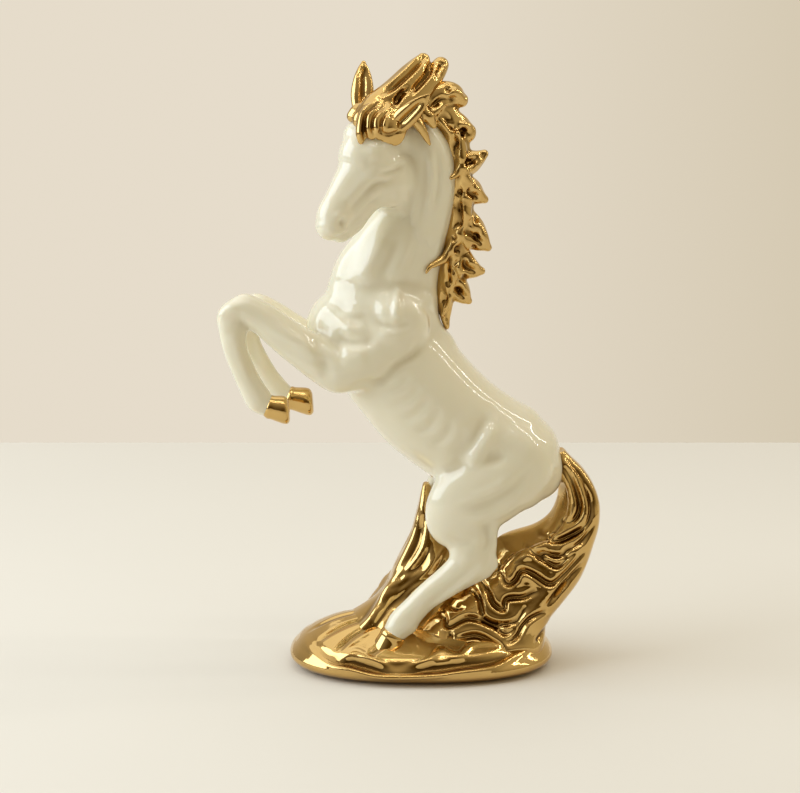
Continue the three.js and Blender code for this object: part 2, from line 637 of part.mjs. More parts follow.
const plumeHair = cut(plumeForm(), ...grooves(PLUME_GROOVES, PLUME, ROUND_WALL));
add("plume", seamed(plumeHair, baseForm(SEAM), torsoForm(SEAM), ...plumeNeighbours), GOLD);
add("tail", tailPiece(), GOLD);
add("base", basePiece(), GOLD);
add("base_plate", platePiece(), BISQUE);

// Felt pads glued under the base, one in each quarter.
const [foot, footLow, footHigh, footHalf] = BASE[0];
const padThickness = foot - SEAM;
const padReach = Math.SQRT1_2 * ((footHigh - footLow) / 2 - PAD_INSET);
const padSpread = Math.SQRT1_2 * (footHalf - PAD_INSET);
for (const [end, way] of Object.entries({ front: -1, rear: 1 })) {
  for (const [side, sign] of Object.entries({ left: -1, right: 1 })) {
    const pad = new THREE.CylinderGeometry(PAD_RADIUS, PAD_RADIUS, padThickness, FINE.hoof);
    pad.rotateX(Math.PI / 2);
    pad.translate((footLow + footHigh) / 2 + way * padReach, sign * padSpread, padThickness / 2);
    add(`felt_pad_${end}_${side}`, solidOf(pad), FELT);
  }
}

export default horse;
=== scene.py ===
"""Rearing horse ornament: white glazed porcelain with gold lustre mane, tail, hooves and base."""

import math

import bmesh
import bpy
import numpy as np
from mathutils import Matrix, Vector


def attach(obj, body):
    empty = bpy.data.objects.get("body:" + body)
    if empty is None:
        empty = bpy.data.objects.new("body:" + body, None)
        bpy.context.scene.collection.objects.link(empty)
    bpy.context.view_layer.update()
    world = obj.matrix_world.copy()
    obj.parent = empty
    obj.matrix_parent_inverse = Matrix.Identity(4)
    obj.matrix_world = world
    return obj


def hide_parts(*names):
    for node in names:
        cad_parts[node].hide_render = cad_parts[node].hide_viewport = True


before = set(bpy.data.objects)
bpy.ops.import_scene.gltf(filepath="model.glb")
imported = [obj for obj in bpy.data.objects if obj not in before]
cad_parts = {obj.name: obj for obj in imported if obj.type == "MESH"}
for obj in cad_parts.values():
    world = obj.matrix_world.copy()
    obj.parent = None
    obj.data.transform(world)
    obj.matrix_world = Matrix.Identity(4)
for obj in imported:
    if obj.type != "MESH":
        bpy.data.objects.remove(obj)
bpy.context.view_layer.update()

# Forms are drawn in millimetres, standing up along z, with the horse facing -x and its left side at -y.
MM = 0.001
DRAWN_OFF = 1.8  # how far to the right of the origin the figure is drawn
STAND = Matrix.Translation((-DRAWN_OFF * MM, 0, 0))

# Stations along a limb are x, y, z, half depth and half width, in the order in which the limb runs.
BARREL = [
    (-38, 0, 207, 23, 23), (-22, 0, 202, 33, 30), (-4.6, 0, 186.4, 35.4, 33.5),
    (12.4, 0, 166.4, 36.2, 34), (31, 0, 150.2, 34.9, 33), (50, 0, 136.8, 35.2, 33.5),
    (66, 0, 128, 35, 32.5), (75, 0, 124.5, 23, 26.5),
]
NECK = [
    (-9, 0, 208, 31, 27), (-15, 0, 225, 35, 27.5), (-14, 0, 240, 34, 25.5), (-8.8, -1, 254, 30.3, 23),
    (-2, -2.5, 268, 26.5, 20.5), (4.5, -4.5, 281, 23.5, 18.5), (9.5, -6.5, 294, 20.5, 17.5),
    (12, -8, 307, 18, 16.5), (11, -9, 319, 16.5, 16), (4, -9.5, 331, 15, 15),
]
UPPER_ARM = [(-4, -22, 214, 17, 13), (-22, -25, 199, 17, 14), (-40, -27, 189, 13.5, 12.5)]
FOREARM = [
    (-41, -27, 189, 14, 12.5), (-56, -26.5, 199, 13, 12), (-74, -25.5, 211.5, 11.3, 10.5),
    (-87.5, -24.5, 222, 10, 9.6), (-98.5, -24, 228, 9.8, 9.5),
]
FORE_CANNON = [
    (-106, -24, 219, 9.4, 9.4), (-105, -24, 206, 7.8, 7.7), (-101.5, -23.5, 195, 7.5, 7.3),
    (-96, -23, 182, 7.7, 7.4), (-90.5, -22.5, 172, 8.4, 7.9), (-85, -22, 167.5, 6.6, 6.6),
]
THIGH = [
    (70, -17, 135, 25, 16), (56, -20.5, 121, 24.5, 16.5), (38.5, -22, 110, 25, 15.5),
    (35.2, -23, 97, 25.2, 13.5), (39.2, -25, 84, 16.4, 10.5), (40, -27, 73, 14, 9),
]
HIND_CANNON = [
    (42, -27, 73, 14.5, 9), (28.5, -29, 62.5, 10.5, 8), (13, -30.5, 51.5, 8.4, 7.3),
    (3.5, -31, 42, 8.3, 7.4), (-3.5, -31.5, 34, 9, 8.2), (-8.6, -32, 27, 7.4, 7.4),
]
# The right foreleg hangs lower than the left one and is folded further: back and down at each of its ends.
ELBOW_DROP, KNEE_DROP, FETLOCK_DROP = (0, 4), (4, 7), (10.5, 3)
# Round masses are x, y, z, then the radius along each, then a tilt in degrees.
MIDDLE_MASSES = [
    (-37.6, 0, 214, 24.8, 27, 23.5, 0), (15, 0, 205, 17, 13, 11, 30), (72, 0, 135.5, 22.6, 30.5, 22.8, 0),
]
SIDE_MASSES = [
    (-7, -22, 219, 21, 13.5, 18, 20), (-34, -17, 214, 17, 15, 14, 0), (50, -27, 72, 5.5, 5, 7.5, -35),
    (-2, -31.4, 34.6, 9.4, 8.4, 8.2, 40), (72, -14, 113, 12, 14, 12, 0), (57, -17, 102, 9, 9, 9, 0),
]

KNEE = (-104.5, -24, 226, 13, 9.3, 8, -36)
FETLOCK = (-91, -22.5, 171, 8.6, 8, 7.4, 30)

# Relief on the flanks: height, half breadth, then the line as x, z. A groove has a height below zero.
NECK_RELIEF = [
    (-1.2, 6, [(-31, 266), (-36, 256), (-39, 247)]), (1.8, 7, [(-14, 270), (-21, 256), (-29, 244)]),
    (0.8, 5, [(-36, 264), (-42, 253), (-45, 244)]), (-1.6, 7, [(-6, 272), (-13, 256), (-19, 245)]),
    (1.0, 6, [(2, 272), (-4, 257), (-9, 246)]), (-1.0, 5, [(8, 276), (4, 260), (-2, 247)]),
    (-1.0, 4.5, [(18, 286), (14, 264), (9, 249)]),
    (-1.5, 6.5, [(-48, 240), (-34, 241), (-20, 241), (-5, 243), (10, 242)]),
]
SHOULDER_RELIEF = [
    (4.4, 12.5, [(-9, 231.5), (-7, 231.3), (-4, 231.5)]), (2.8, 9, [(9, 228), (11.3, 232), (13, 237)]),
    (1.8, 10, [(-30, 233), (-30, 229), (-29, 224)]),
    (2.4, 6, [(-39, 216), (-31.5, 215), (-24, 216.4)]), (2.2, 6, [(-17, 214.6), (-10, 214), (-3, 215.6)]),
    (-1.8, 4, [(-20.5, 228), (-19, 223), (-13, 219.4), (-5, 219), (4, 222)]),
    (-1.6, 4, [(-44, 219), (-41, 213.6), (-34, 209), (-25, 208.8), (-20.5, 213)]),
    (2.2, 11, [(-40, 202), (-33, 202), (-24, 203)]),
    (-2.2, 4.6, [(8, 208), (3, 201), (-7, 195), (-13, 188), (-19, 183)]),
    (-1.6, 4, [(-14.7, 185), (-23.8, 185), (-36, 181)]), (-1.8, 5, [(-57, 213), (-51, 200), (-48, 187)]),
]
RIB_RELIEF = [
    (-1.3, 3.6, [(1, 190), (-5, 182), (-13, 178)]), (-1.4, 3.6, [(8, 183), (0, 174), (-10, 170)]),
    (-1.4, 3.6, [(13, 175), (5, 165), (-4, 161)]), (-1.4, 3.6, [(19, 168), (13, 157), (5, 153)]),
    (-1.3, 3.6, [(27, 161), (22, 150), (15, 145)]), (-1.2, 3.6, [(35, 156), (31, 146), (25, 140)]),
]
FLANK_RELIEF = [
    (3.0, 6, [(52, 158), (46.5, 148), (41, 140), (36, 133)]),
    (-2.6, 7, [(48, 164), (41, 150), (33, 139), (26, 131)]),
    (-2.2, 6, [(46, 138), (52, 137.5), (58, 140.5)]), (1.6, 8, [(60, 152), (70, 148), (80, 141)]),
    (-2.0, 5, [(33, 106), (48, 110), (62, 118), (76, 131)]), (1.4, 4, [(36, 113), (50, 118), (63, 126)]),
    (1.4, 4, [(38, 100), (55, 103), (70, 113)]), (-1.2, 5, [(22, 127), (30, 131), (40, 134)]),
]
HOCK_RELIEF = [
    (-2.0, 4, [(47, 97), (49, 87), (45, 78)]), (1.4, 3.6, [(53, 96), (54, 86), (55, 76)]),
    (1.2, 3.2, [(51, 74), (40, 64), (27, 54), (15, 43)]),
    (-1.2, 2.8, [(44, 74), (33, 63.5), (20, 53), (11, 44)]), (1.6, 6, [(27, 80), (32, 77), (40, 78)]),
    (-1.2, 4, [(24, 90), (34, 86), (42, 87)]),
]
KNEE_RELIEF = [
    (1.6, 4, [(-100, 231), (-110, 229), (-113, 222)]),
    (-1.2, 3.6, [(-97, 222), (-102, 217), (-111, 213)]),
    (-1.0, 3.2, [(-100, 214), (-97, 200), (-92, 186)]), (1.0, 3, [(-104, 214), (-101, 200), (-96, 186)]),
    (1.4, 5, [(-52, 202), (-66, 209), (-82, 219)]), (-1.2, 4, [(-46, 196), (-60, 200), (-78, 209)]),
]
NAPE_RELIEF = [
    (-1.0, 3.4, [(9.7, 322), (10.8, 305), (8.6, 289), (6.5, 277)]),
    (-1.0, 3, [(17.3, 324), (18.4, 305), (15.7, 289)]), (0.8, 3.4, [(13.4, 322), (14.6, 305), (12, 288)]),
    (-0.8, 3, [(2, 300), (1, 288), (-2, 277)]),
]
SIDE_RELIEF = NECK_RELIEF + SHOULDER_RELIEF + RIB_RELIEF + FLANK_RELIEF + HOCK_RELIEF + KNEE_RELIEF

MUSCLE = 0.8  # how strongly the relief shows under the glaze
RELIEF_SPREAD = 1.15  # how much broader than drawn it lies
BODY_ROUNDS = 60  # rounds of softening that melt the body's thick parts into one another
BODY_RISE = (82, 104)  # the heights between which that grows, from the hocks up
BODY_BACK = (-62, -37)  # the lengths between which it grows, from the forearms back

# The head is drawn looking along -x about the crown, then turned to the horse's left.
CROWN = (-12, -18, 340)
HEAD_TURN = math.radians(34)
TURNED = Matrix.Rotation(HEAD_TURN, 4, "Z")
HEAD = STAND @ Matrix.Translation(Vector(CROWN) * MM) @ TURNED
SKULL = [
    (-6, 0, -7, 17.5, 14), (-11.4, 0, -20.7, 21.3, 17), (-17, 0, -32.3, 19, 16),
    (-25.2, 0, -40.3, 15.3, 12.6), (-32.2, 0, -47.8, 13, 10.8), (-38.3, 0, -54.9, 11.4, 10.6),
    (-40.8, 0, -59.8, 9.2, 10.6),
]
JAW = [
    (-34, 0, -64, 6.8, 7.6), (-26.5, 0, -57.5, 8.6, 8.4), (-22.5, 0, -51.5, 9.5, 9),
    (-15, 0, -43, 11, 10.5),
]
HEAD_MIDDLE = [
    (-1, 0, -33, 20, 13, 18.5, 0), (-39.5, 0, -59, 9.5, 11, 8.5, 0), (2, 0, -10, 17, 14, 15, 0),
    (-18, 4, -9, 10, 9.5, 10.5, 0),
]
HEAD_SIDES = [
    (-2, -6.5, -34, 18, 10, 17.5, 0), (-15, -11.4, -18, 10, 6.4, 8.6, 0),
    (-39.5, -6.5, -56, 5.5, 4.6, 6, 0),
]
NECK_TUCK = (0, 0, 0, 0, 0, 1, 2, 3, 4, 5)  # how far the neck draws in, station by station, under the nape
NAPE_FROM = 4  # the first station of the neck that the nape shares
NAPE_SWELL = (-1.2, 0.5)  # how far the nape stands out past the neck, from its lower end to its upper one
FACE = 0.9  # how strongly the relief of the face shows
FACE_RELIEF = [
    (1.5, 2.8, [(-17, -25.6), (-7.9, -23.3), (5.2, -21.5)]),
    (-1.6, 2.0, [(-17, -28.8), (-11.7, -28.9), (-6.3, -28.2), (1, -25)]),
    (1.0, 2.6, [(-19.2, -31.6), (-11.6, -31), (-2.4, -28.6)]),
    (-1.6, 3.4, [(-23.8, -38.7), (-19, -35.2), (-11.2, -34.2)]),
    (1.3, 5, [(-16.6, -26), (-22.6, -31.3), (-29.7, -39.5), (-36.6, -46.9)]),
    (-1.2, 5, [(-22, -37), (-29, -45.4), (-34, -51)]),
    (1.2, 4.5, [(-30, -53.1), (-22.1, -44.2), (-12.5, -38.6), (-0.1, -36.8)]),
    (-3.0, 3.6, [(-41.0, -60), (-39.6, -57.4), (-38, -55)]),
    (1.2, 2.6, [(-43.2, -54.8), (-40.5, -52.5), (-36.3, -53.5)]),
    (-1.0, 1.8, [(-46.1, -65.8), (-40.9, -65.4), (-32.5, -64.2)]),
]
HEAD_ROUNDS = 110  # rounds of softening that melt the nape and the jaw into the neck
NAPE_BACK, NAPE_RISE = (1, 10), (-60, -40)  # where that grows at the nape, along x and z
JAW_BACK, JAW_FALL = (-16, -8), (-34, -42)  # and under the jaw

# Hooves: along the hoof as a share of its length, and how far it stands out past the pastern.
HOOF_LENGTH = 13.2
HOOF_OUTLINE = [
    (-0.14, -0.8), (0, 0.5), (0.08, 0.9), (0.2, 0.7), (0.5, 1.5), (0.75, 2.0), (0.9, 1.6), (1, -0.6),
]
# A hoof's pose is the way it points, and how far the sole is turned from that.
FORE_HOOF = ((12.2, 0, -2.6), math.radians(-16))
HIND_HOOF = ((-7, 0, -14), math.radians(-26.6))
RIGHT_STRETCH = 1.18  # how much longer the right fore hoof is than the left one

# Ears, on the head: root, the way it points, the way its hollow looks, length and half width.
EARS = {
    "left_ear": ((-7, -14.5, -4), (15.6, -17.2, 21.7), (-0.5, -0.8, -0.12), 31.5, 6.8),
    "right_ear": ((-9.8, 13.5, 6), (6, 7, 26), (-0.25, -0.97, 0.1), 31, 7.3),
}
# Along an ear: a share of its length, then breadth and thickness as shares of its half width.
EAR_TAPER = [(0, 0.8, 0.6), (0.3, 1, 0.62), (0.6, 0.84, 0.54), (0.82, 0.52, 0.38), (0.95, 0.22, 0.2)]
# Its bowl: depth and half breadth as shares of the half width, and where it runs along the ear.
EAR_BOWL = (-0.46, 0.62)
EAR_BOWL_RUN = (0.1, 0.3, 0.55, 0.88)

# Forelock, on the head: strands of x, y, z and radius. Three sweep back and one curls over the brow.
SWEPT_BACK = [
    [(-18, -1, 2, 7), (-10, -2, 8, 9), (4, -3, 16, 10), (15, -3, 26, 8.5), (20.5, -3, 32.4, 6.2),
     (23.4, -3, 35.8, 4.2)],
    [(-6, -8, 4, 8), (8, -8, 11, 8.5), (20, -8.5, 20, 7.4), (28, -8.5, 27.5, 6.2), (32.5, -8, 32.5, 5.2)],
    [(-12, 4, 6, 7), (-2, 5, 11, 8), (8, 5, 16, 7), (16, 5, 20, 5)],
    [(-10, 3, 7, 5.5), (-17, 5, 6.4, 5), (-20.5, 6, 3.6, 4.2)],
]
# The fringe falls over the brow: a pointed lock, then a row that is cut off along a slant.
POINTED_LOCK = [
    (-12, -6, 8, 5.5), (-20, -7.4, 4.6, 5), (-24, -8.4, -4, 3.9), (-24.7, -8.8, -8.6, 2.8),
    (-24.6, -8.6, -12.6, 1.2),
]
FRINGE = [
    [(-10, -8, 8, 5.5), (-16.6, -11, 4, 5), (-19.6, -12.2, -2, 4.4), (-19.8, -12.4, -6.4, 3)],
    [(-7, -10, 7, 5.5), (-12, -14, 3, 5), (-15, -15.2, -2, 4.6), (-15.4, -15.4, -6.6, 3.4)],
    [(-3, -10, 6, 5.5), (-7.4, -15, 1, 5.2), (-10, -16.6, -4.6, 5), (-10.6, -16.4, -9, 4.4)],
    [(0, -10, 3, 5.5), (-2, -15.6, -2, 4.8), (-4.4, -16.8, -6, 4.8), (-5.4, -16.6, -9.4, 4.2)],
]
FRINGE_SLANT = ((-8.6, -15.8, -11.6), (-0.29, -0.8, -0.53))  # a point on it, and the way the cut face looks
# Grooves, hollows and the raised edge on the side of the forelock that faces the viewer, as across, up.
FRINGE_GROOVES = [
    [(-2, 11), (-9.1, 9.9), (-13.3, 5.8), (-14.2, -0.7), (-13.9, -6.5), (-12.7, -10.1)],
    [(-0.9, 9.3), (-5.6, 8.1), (-8.6, 4), (-9.1, -1.8), (-8.3, -7.7)],
    [(0.9, 7.5), (-2, 5.8), (-3.8, 1.7), (-3.8, -3), (-4.4, -6.5)],
]
FRINGE_CREASE = [(-4.4, -4.8), (0.3, -6.5), (5, -5.1), (9.8, -3.6)]
FORELOCK_HOLLOWS = [
    [(-2.6, 17.5), (4.4, 21.6), (9.8, 26.3), (15.1, 31), (19.2, 35.1), (22.4, 38)],
    [(4.4, 11), (6.8, 15.7), (10.9, 19.8)], [(29.3, 26.3), (31, 31), (32.2, 35.1)],
    [(14.5, 18.1), (19.2, 22.8), (23.9, 28.1), (25.7, 32.2)],
]
FORELOCK_EDGE = [(1.5, 22.2), (9.8, 28.6), (15.7, 34.5), (19.8, 39)]
# Here and below, a cut or a rise is how deep or high such lines are, and their half breadth. A plain groove,
# without lips, has a height below zero.
FRINGE_CUT, HOLLOW_CUT, FAR_HOLLOW_CUT = (1.7, 2.2), (2.2, 3.0), (1.5, 2.9)
CREASE_CUT, EDGE_RISE = (-1.2, 1.8), (1.2, 2.4)

# Mane: the crest, then lobes and strands of x, y, z, half depth and half width, or radius.
CREST = [
    (-8, -19, 345, 9, 8), (8, -13, 347, 10, 8.5), (21, -8, 341, 11, 8), (29, -7, 324, 8.5, 8),
    (31, -6, 304, 7.5, 8), (32, -5, 284, 8, 8), (29, -3, 265, 8.5, 8), (26, -1, 248, 8.5, 7.5),
    (23, 0, 232, 6, 6), (23, 0, 219, 3.2, 4), (24, 0, 213, 1.8, 2.6),
]
LOBES = [
    [(8, -12, 348, 8, 7), (18, -10, 354, 9, 7.5), (26, -9, 355, 7.8, 6.6), (31.5, -8, 352, 4.8, 5)],
    [(22, -8, 337, 12, 7), (30, -7, 334.4, 9.6, 7), (36, -7, 331.8, 6.2, 5)],
    [(31, -7, 314, 10, 7), (37.6, -7, 315.2, 8, 6.6), (42.5, -7, 317.4, 5, 5),
     (45.8, -7, 319.6, 2.9, 3.4)],
    [(32, -6, 299, 10, 7), (38, -6, 296.6, 8.4, 6.6), (43, -6, 293.6, 5.2, 5), (46.4, -6, 292, 2.6, 3)],
    [(32, -5, 276, 12.5, 7.5), (38.6, -5, 271, 10.5, 7), (44.5, -5, 265.8, 6.4, 6),
     (48.4, -5, 262.8, 2.8, 3.4)],
    [(31, -3, 253, 10, 7), (37, -3, 250, 7.6, 6.5), (41.6, -3, 248.4, 4.8, 5), (44.8, -3, 248, 2.6, 3)],
    [(27, -1, 240, 9, 6.5), (31.6, -1, 235, 7.4, 6), (35.2, -1, 231, 4.6, 4.5),
     (37.2, -1, 229.2, 2.4, 2.6)],
]
# Strands lie on both sides of the crest, and those of the crown on the left side alone.
MANE_STRANDS = [
    [(16, -14, 342, 3.6), (26, -13.6, 335, 4.2), (31, -13, 325, 4), (32, -13, 316, 3.4),
     (29.5, -15.2, 309, 2.4), (25.5, -18.4, 306, 1.2)],
    [(31, -11.6, 312, 3.6), (35, -11, 299, 4.4), (34, -10.4, 286, 4.4), (32, -10, 276, 4),
     (28, -10, 266, 3.6), (23, -10.6, 258, 2.9), (17.5, -14, 254.4, 2.3), (13.4, -17.2, 252.6, 1.7),
     (11, -18.6, 249, 1.0)],
    [(28, -8, 263, 3.4), (25, -7.4, 252, 3.8), (26, -6.4, 243, 3.8), (24, -5, 232, 3),
     (22, -4.6, 221, 1.9)],
]
CROWN_STRANDS = [
    [(0, -24, 347, 4.4), (4, -28.6, 342, 3.6), (9, -27.6, 334.6, 2.7), (11.4, -26.4, 329.6, 1.8),
     (13, -26, 326.6, 1)],
    [(4, -21, 350, 5.4), (10, -23.6, 344.6, 4.6), (15, -22.6, 338.4, 2.6)],
]
# Ridges and hollows in the mane are lines of x, z, and its cells are short pits.
MANE_RIDGES = [
    [(28, 261), (31, 250), (33, 241), (37, 232)], [(31, 273), (36, 264), (38, 256), (45, 248)],
    [(34, 286), (41, 278), (46, 271), (49, 263)], [(31, 323), (35, 311), (41.5, 315.5), (46, 320)],
    [(32, 312), (38, 303), (43, 296), (47, 292)], [(27, 330), (33, 337), (39, 335)],
    [(12, 341), (20, 350), (27, 357), (34, 353)],
]
MANE_HOLLOWS = [
    [(14, 348), (21, 353), (28, 353)], [(25, 337), (31, 335), (36, 332.6)],
    [(33, 314.4), (38, 315.6), (43, 317.6)], [(34, 298), (39, 296), (43.6, 293.6)],
    [(35, 273.5), (40, 270), (45.6, 265)], [(33, 252), (38, 249.8), (42, 248.4)],
    [(28.5, 238.4), (32, 235), (35.4, 231)], [(30, 292), (31, 284), (30, 275)],
    [(27, 258), (25, 248), (25.6, 238)], [(22, 343), (27, 333), (29, 322)],
    [(22, 236), (23, 226), (24, 217)],
]
MANE_CELLS = [
    (35, 254), (30, 254), (32, 237), (42, 271), (25, 243), (32, 278), (23, 231), (45, 319), (41, 280),
    (38, 299), (35, 357), (24, 358), (29, 328), (31, 297), (40, 263), (30, 262), (26, 235), (33, 333),
    (39, 314), (27, 250), (34, 245), (28, 269),
]
RIDGE_RISE, MANE_CUT, CELL_CUT = (1.8, 3.6), (2.0, 3.2), (-2.2, 2.4)
CELL_HALF, CELL_LEAN = 2, 0.6  # half of a cell's height, and how far its foot leans forward

# Walls are levels of z, lowest x, highest x, half thickness and middle y; their lines are x, z.
# A wall's section is an oval at a squareness of 1, and fuller towards its corners below that.
TAIL_SQUARENESS, PLUME_SQUARENESS, BASE_SQUARENESS = 0.6, 0.85, 0.85
TAIL = [
    (7, -22, 84, 43, 0), (16, -14, 86, 38, 0), (24, -2, 86.5, 33.5, 0), (32, 10, 90, 30, 0),
    (42, 24, 98, 27, 0), (55, 38, 107.5, 24, 0), (68, 48, 113, 22, 0), (79, 58, 116.5, 19.5, 0),
    (86, 78, 118.5, 17.5, 0), (94, 88, 119.5, 16, 0), (104, 92, 119, 14.5, 0), (114, 92, 115.5, 13, 0),
    (124, 88, 109, 11.5, 0), (132, 84, 101, 9, 0), (137, 82, 96.5, 7, 0),
]
TAIL_LINES = [
    [(98, 133), (109, 120), (113, 110), (116, 100)],
    [(98, 126), (103, 115), (106, 103), (103, 95), (96, 91)],
    [(104, 123), (110, 113), (113, 101), (111, 93), (104, 87), (93, 82), (82, 83)],
    [(115, 93), (108, 82), (99, 77), (93, 73), (75, 76)],
    [(74, 76), (85, 70), (92, 67), (99, 72), (104, 76)],
    [(56, 65), (61, 56), (66, 58), (70, 64), (77, 62), (88, 56), (98, 63), (109, 76)],
    [(37, 55), (44, 57), (49, 52), (53, 44), (59, 41), (61, 47), (71, 48), (78, 51)],
    [(13, 39), (19, 42), (29, 41), (34, 42)],
    [(15, 46), (29, 47), (39, 51), (44, 46), (47, 36), (57, 32), (67, 34), (72, 41)],
    [(6, 27), (13, 36), (22, 36), (25, 31), (38, 36), (53, 31), (61, 27), (69, 32)],
    [(61, 22), (67, 25), (73, 33), (80, 37), (87, 39)],
    [(31, 12), (36, 16), (45, 18), (53, 14), (71, 15), (79, 12)],
    [(85, 41), (91, 49), (98, 57), (109, 68)], [(91, 46), (94, 52), (99, 57)],
    [(2, 24), (12, 24), (19, 20), (23, 10)], [(26, 29), (26, 20), (23, 10)],
    [(80, 20), (84, 24), (88, 27)], [(30, 24), (42, 26), (52, 22), (60, 17)],
]
TAIL_RIM = [(56, 66), (70, 71), (82, 78), (92, 91), (95, 107)]
TAIL_CUT, RIM_RISE = (2.1, 3.0), (1.2, 4)
# The scoop in the tail's front, drawn across and up a slope of 45 degrees from its foot.
SCOOP_FOOT = (30, 0, 30)
SCOOP_CUT = (-9, 32)
SCOOP = [(-21, 30), (-21, 62), (-19, 92), (-16, 118)]
PLUME = [
    (7, -50, 40, 32, 2), (20, -46, 38, 29, 2), (28, -39, 35, 25, 2.5), (34, -30, 33, 21, 3),
    (40, -21, 31.5, 18, 4), (47, -14.5, 31, 16, 4.5), (54, -11, 31, 14.7, 5), (62, -8, 31, 13.5, 6),
    (72, -2, 29, 12, 7), (82, 3, 26, 10, 8), (92, 5.5, 22, 8, 9), (102, 7.5, 18, 6, 10),
    (112, 10, 14, 3, 11),
]
PLUME_LINES = [
    [(11, 117), (10, 101), (5, 85), (-2, 67), (-10, 50), (-22, 32)],
    [(12, 104), (12, 82), (8, 70), (-3, 56), (-14, 42)],
    [(15, 94), (16, 76), (12, 63), (-1, 53), (-13, 41), (-26, 27)],
    [(18, 92), (21, 77), (17, 65), (9, 55), (-6, 44), (-19, 29)],
    [(22, 84), (25, 72), (20, 58), (6, 48), (-8, 35), (-20, 20)],
    [(26, 76), (28, 62), (18, 48), (4, 36), (-8, 24)], [(-6, 52), (-16, 38), (-27, 27), (-38, 20)],
]
PLUME_RISE = (2.4, 4.2)
BASE = [
    (1.2, -67, 84, 51, 0), (3, -71, 88, 54.4, 0), (5.5, -73.4, 90.4, 56.6, 0), (8, -74, 91, 57, 0),
    (10, -73.2, 90.2, 55.6, 0), (12, -72, 89, 53.2, 0), (14, -70, 87, 51.4, 0), (16.4, -68, 85, 49, 0),
    (19, -65, 82, 44, 0), (24, -57, 74, 33, 0), (29, -46, 62, 21, 0), (32, -34, 50, 10, 0),
]
BASE_SIDES = 96
# The ledge round the base has a raised foot, a groove above it and a raised top.
LEDGE = [
    (-64, 19), (-60, 15), (-47, 10.5), (-34, 9.5), (-19, 7), (-2, 7), (18, 8), (32, 9.5), (53, 11),
    (67, 15), (78, 17),
]
LEDGE_TOP = [
    (-63, 20), (-53, 15), (-42, 14), (-32, 18), (-21, 15), (-8, 11), (9, 14), (20, 19), (31, 17),
    (42, 22), (64, 21), (78, 19),
]
LEDGE_RISE, LEDGE_CUT, LEDGE_TOP_RISE = (1.2, 2.4), (-2.6, 4.2), (1.2, 2.6)
LEDGE_CUT_UP = 3.6  # how far the groove lies above the foot
# Ripples on the top of the base, as x, y.
BASE_RIPPLES = [
    [(-22, -20), (-34, -28), (-44, -38)], [(-26, -12), (-42, -18), (-56, -24)],
    [(-28, -2), (-44, -4), (-60, -6)], [(-26, 10), (-42, 14), (-58, 18)],
    [(-8, -28), (-16, -38), (-24, -46)],
]
RIPPLE_CUT = (0.8, 4)

# How each skin is made: grain in millimetres, rounds of softening, and rounds after its relief is cut.
GRAIN = {
    "horse_body": (1.15, 12, 6), "horse_head": (0.8, 24, 8), "hoof": (0.5, 12, 0),
    "ear": (0.45, 8, 0), "forelock": (0.55, 6, 2), "mane": (0.7, 4, 3),
    "tail": (0.8, 8, 2), "plume": (0.7, 6, 2), "base": (0.9, 6, 0),
}
SOFTEN = 0.5  # how far a point moves towards the middle of its neighbours in one round


def spline(rows, steps):
    """A smooth run of rows through the given ones, with `steps` rows from one to the next."""
    rows = np.asarray(rows, float)
    ends = np.vstack([2 * rows[0] - rows[1], rows, 2 * rows[-1] - rows[-2]])
    run = []
    for before, here, there, after in zip(ends, ends[1:], ends[2:], ends[3:]):
        for t in np.arange(steps) / steps:
            bend = 2 * before - 5 * here + 4 * there - after
            twist = 3 * here - before - 3 * there + after
            run.append((2 * here + (there - before) * t + bend * t**2 + twist * t**3) / 2)
    return np.array(run + [rows[-1]])


def ring(bm, middle, deep, wide, along, sides):
    """An oval loop with `deep` and `wide` as its half axes. Returns its edges."""
    place = Matrix((deep, wide, along)).transposed().to_4x4()
    place.translation = middle
    verts = bmesh.ops.create_circle(bm, cap_ends=False, segments=sides, radius=1, matrix=place)["verts"]
    return list(dict.fromkeys(edge for vert in verts for edge in vert.link_edges))


def skin(bm, loops):
    """Bridges loop to loop and fills the first and the last."""
    for low, high in zip(loops, loops[1:]):
        bmesh.ops.bridge_loops(bm, edges=low + high)
    for end in (loops[0], loops[-1]):
        bmesh.ops.edgeloop_fill(bm, edges=end)


DOME = [math.radians(angle) for angle in (30, 58, 80)]  # where the rings of a round end lie


def limb(bm, rows, sides=24, steps=4, breadth=(0, 1, 0)):
    """A limb with round ends through stations."""
    path = spline(rows, steps)
    ways = np.gradient(path[:, :3], axis=0)
    breadth = Vector(breadth)
    sections = []
    for (x, y, z, deep, wide), way in zip(path, ways):
        along = Vector(way).normalized()
        across = (breadth - along * along.dot(breadth)).normalized()
        sections.append((Vector((x, y, z)), across.cross(along) * deep, across * wide, along))

    def dome(section, sign):
        middle, deep, wide, along = section
        bulge = min(deep.length, wide.length) * sign
        turns = [(math.sin(angle), math.cos(angle)) for angle in DOME]
        return [
            ring(bm, middle + along * bulge * up, deep * out, wide * out, along, sides)
            for up, out in turns
        ]

    loops = dome(sections[0], -1)[::-1]
    loops += [ring(bm, *section, sides) for section in sections]
    loops += dome(sections[-1], 1)
    skin(bm, loops)


def mass(bm, x, y, z, rx, ry, rz, tilt):
    """A round mass of muscle or bone."""
    place = Matrix.Translation((x, y, z)) @ Matrix.Rotation(math.radians(tilt), 4, "Y")
    place = place @ Matrix.Diagonal((rx, ry, rz, 1))
    bmesh.ops.create_uvsphere(bm, u_segments=28, v_segments=16, radius=1, matrix=place)


def mirrored(rows):
    """The same rows on the horse's other side."""
    return [(x, -y, *rest) for x, y, *rest in rows]


def points_of(mesh):
    points = np.empty(len(mesh.vertices) * 3)
    mesh.vertices.foreach_get("co", points)
    return points.reshape(-1, 3) / MM


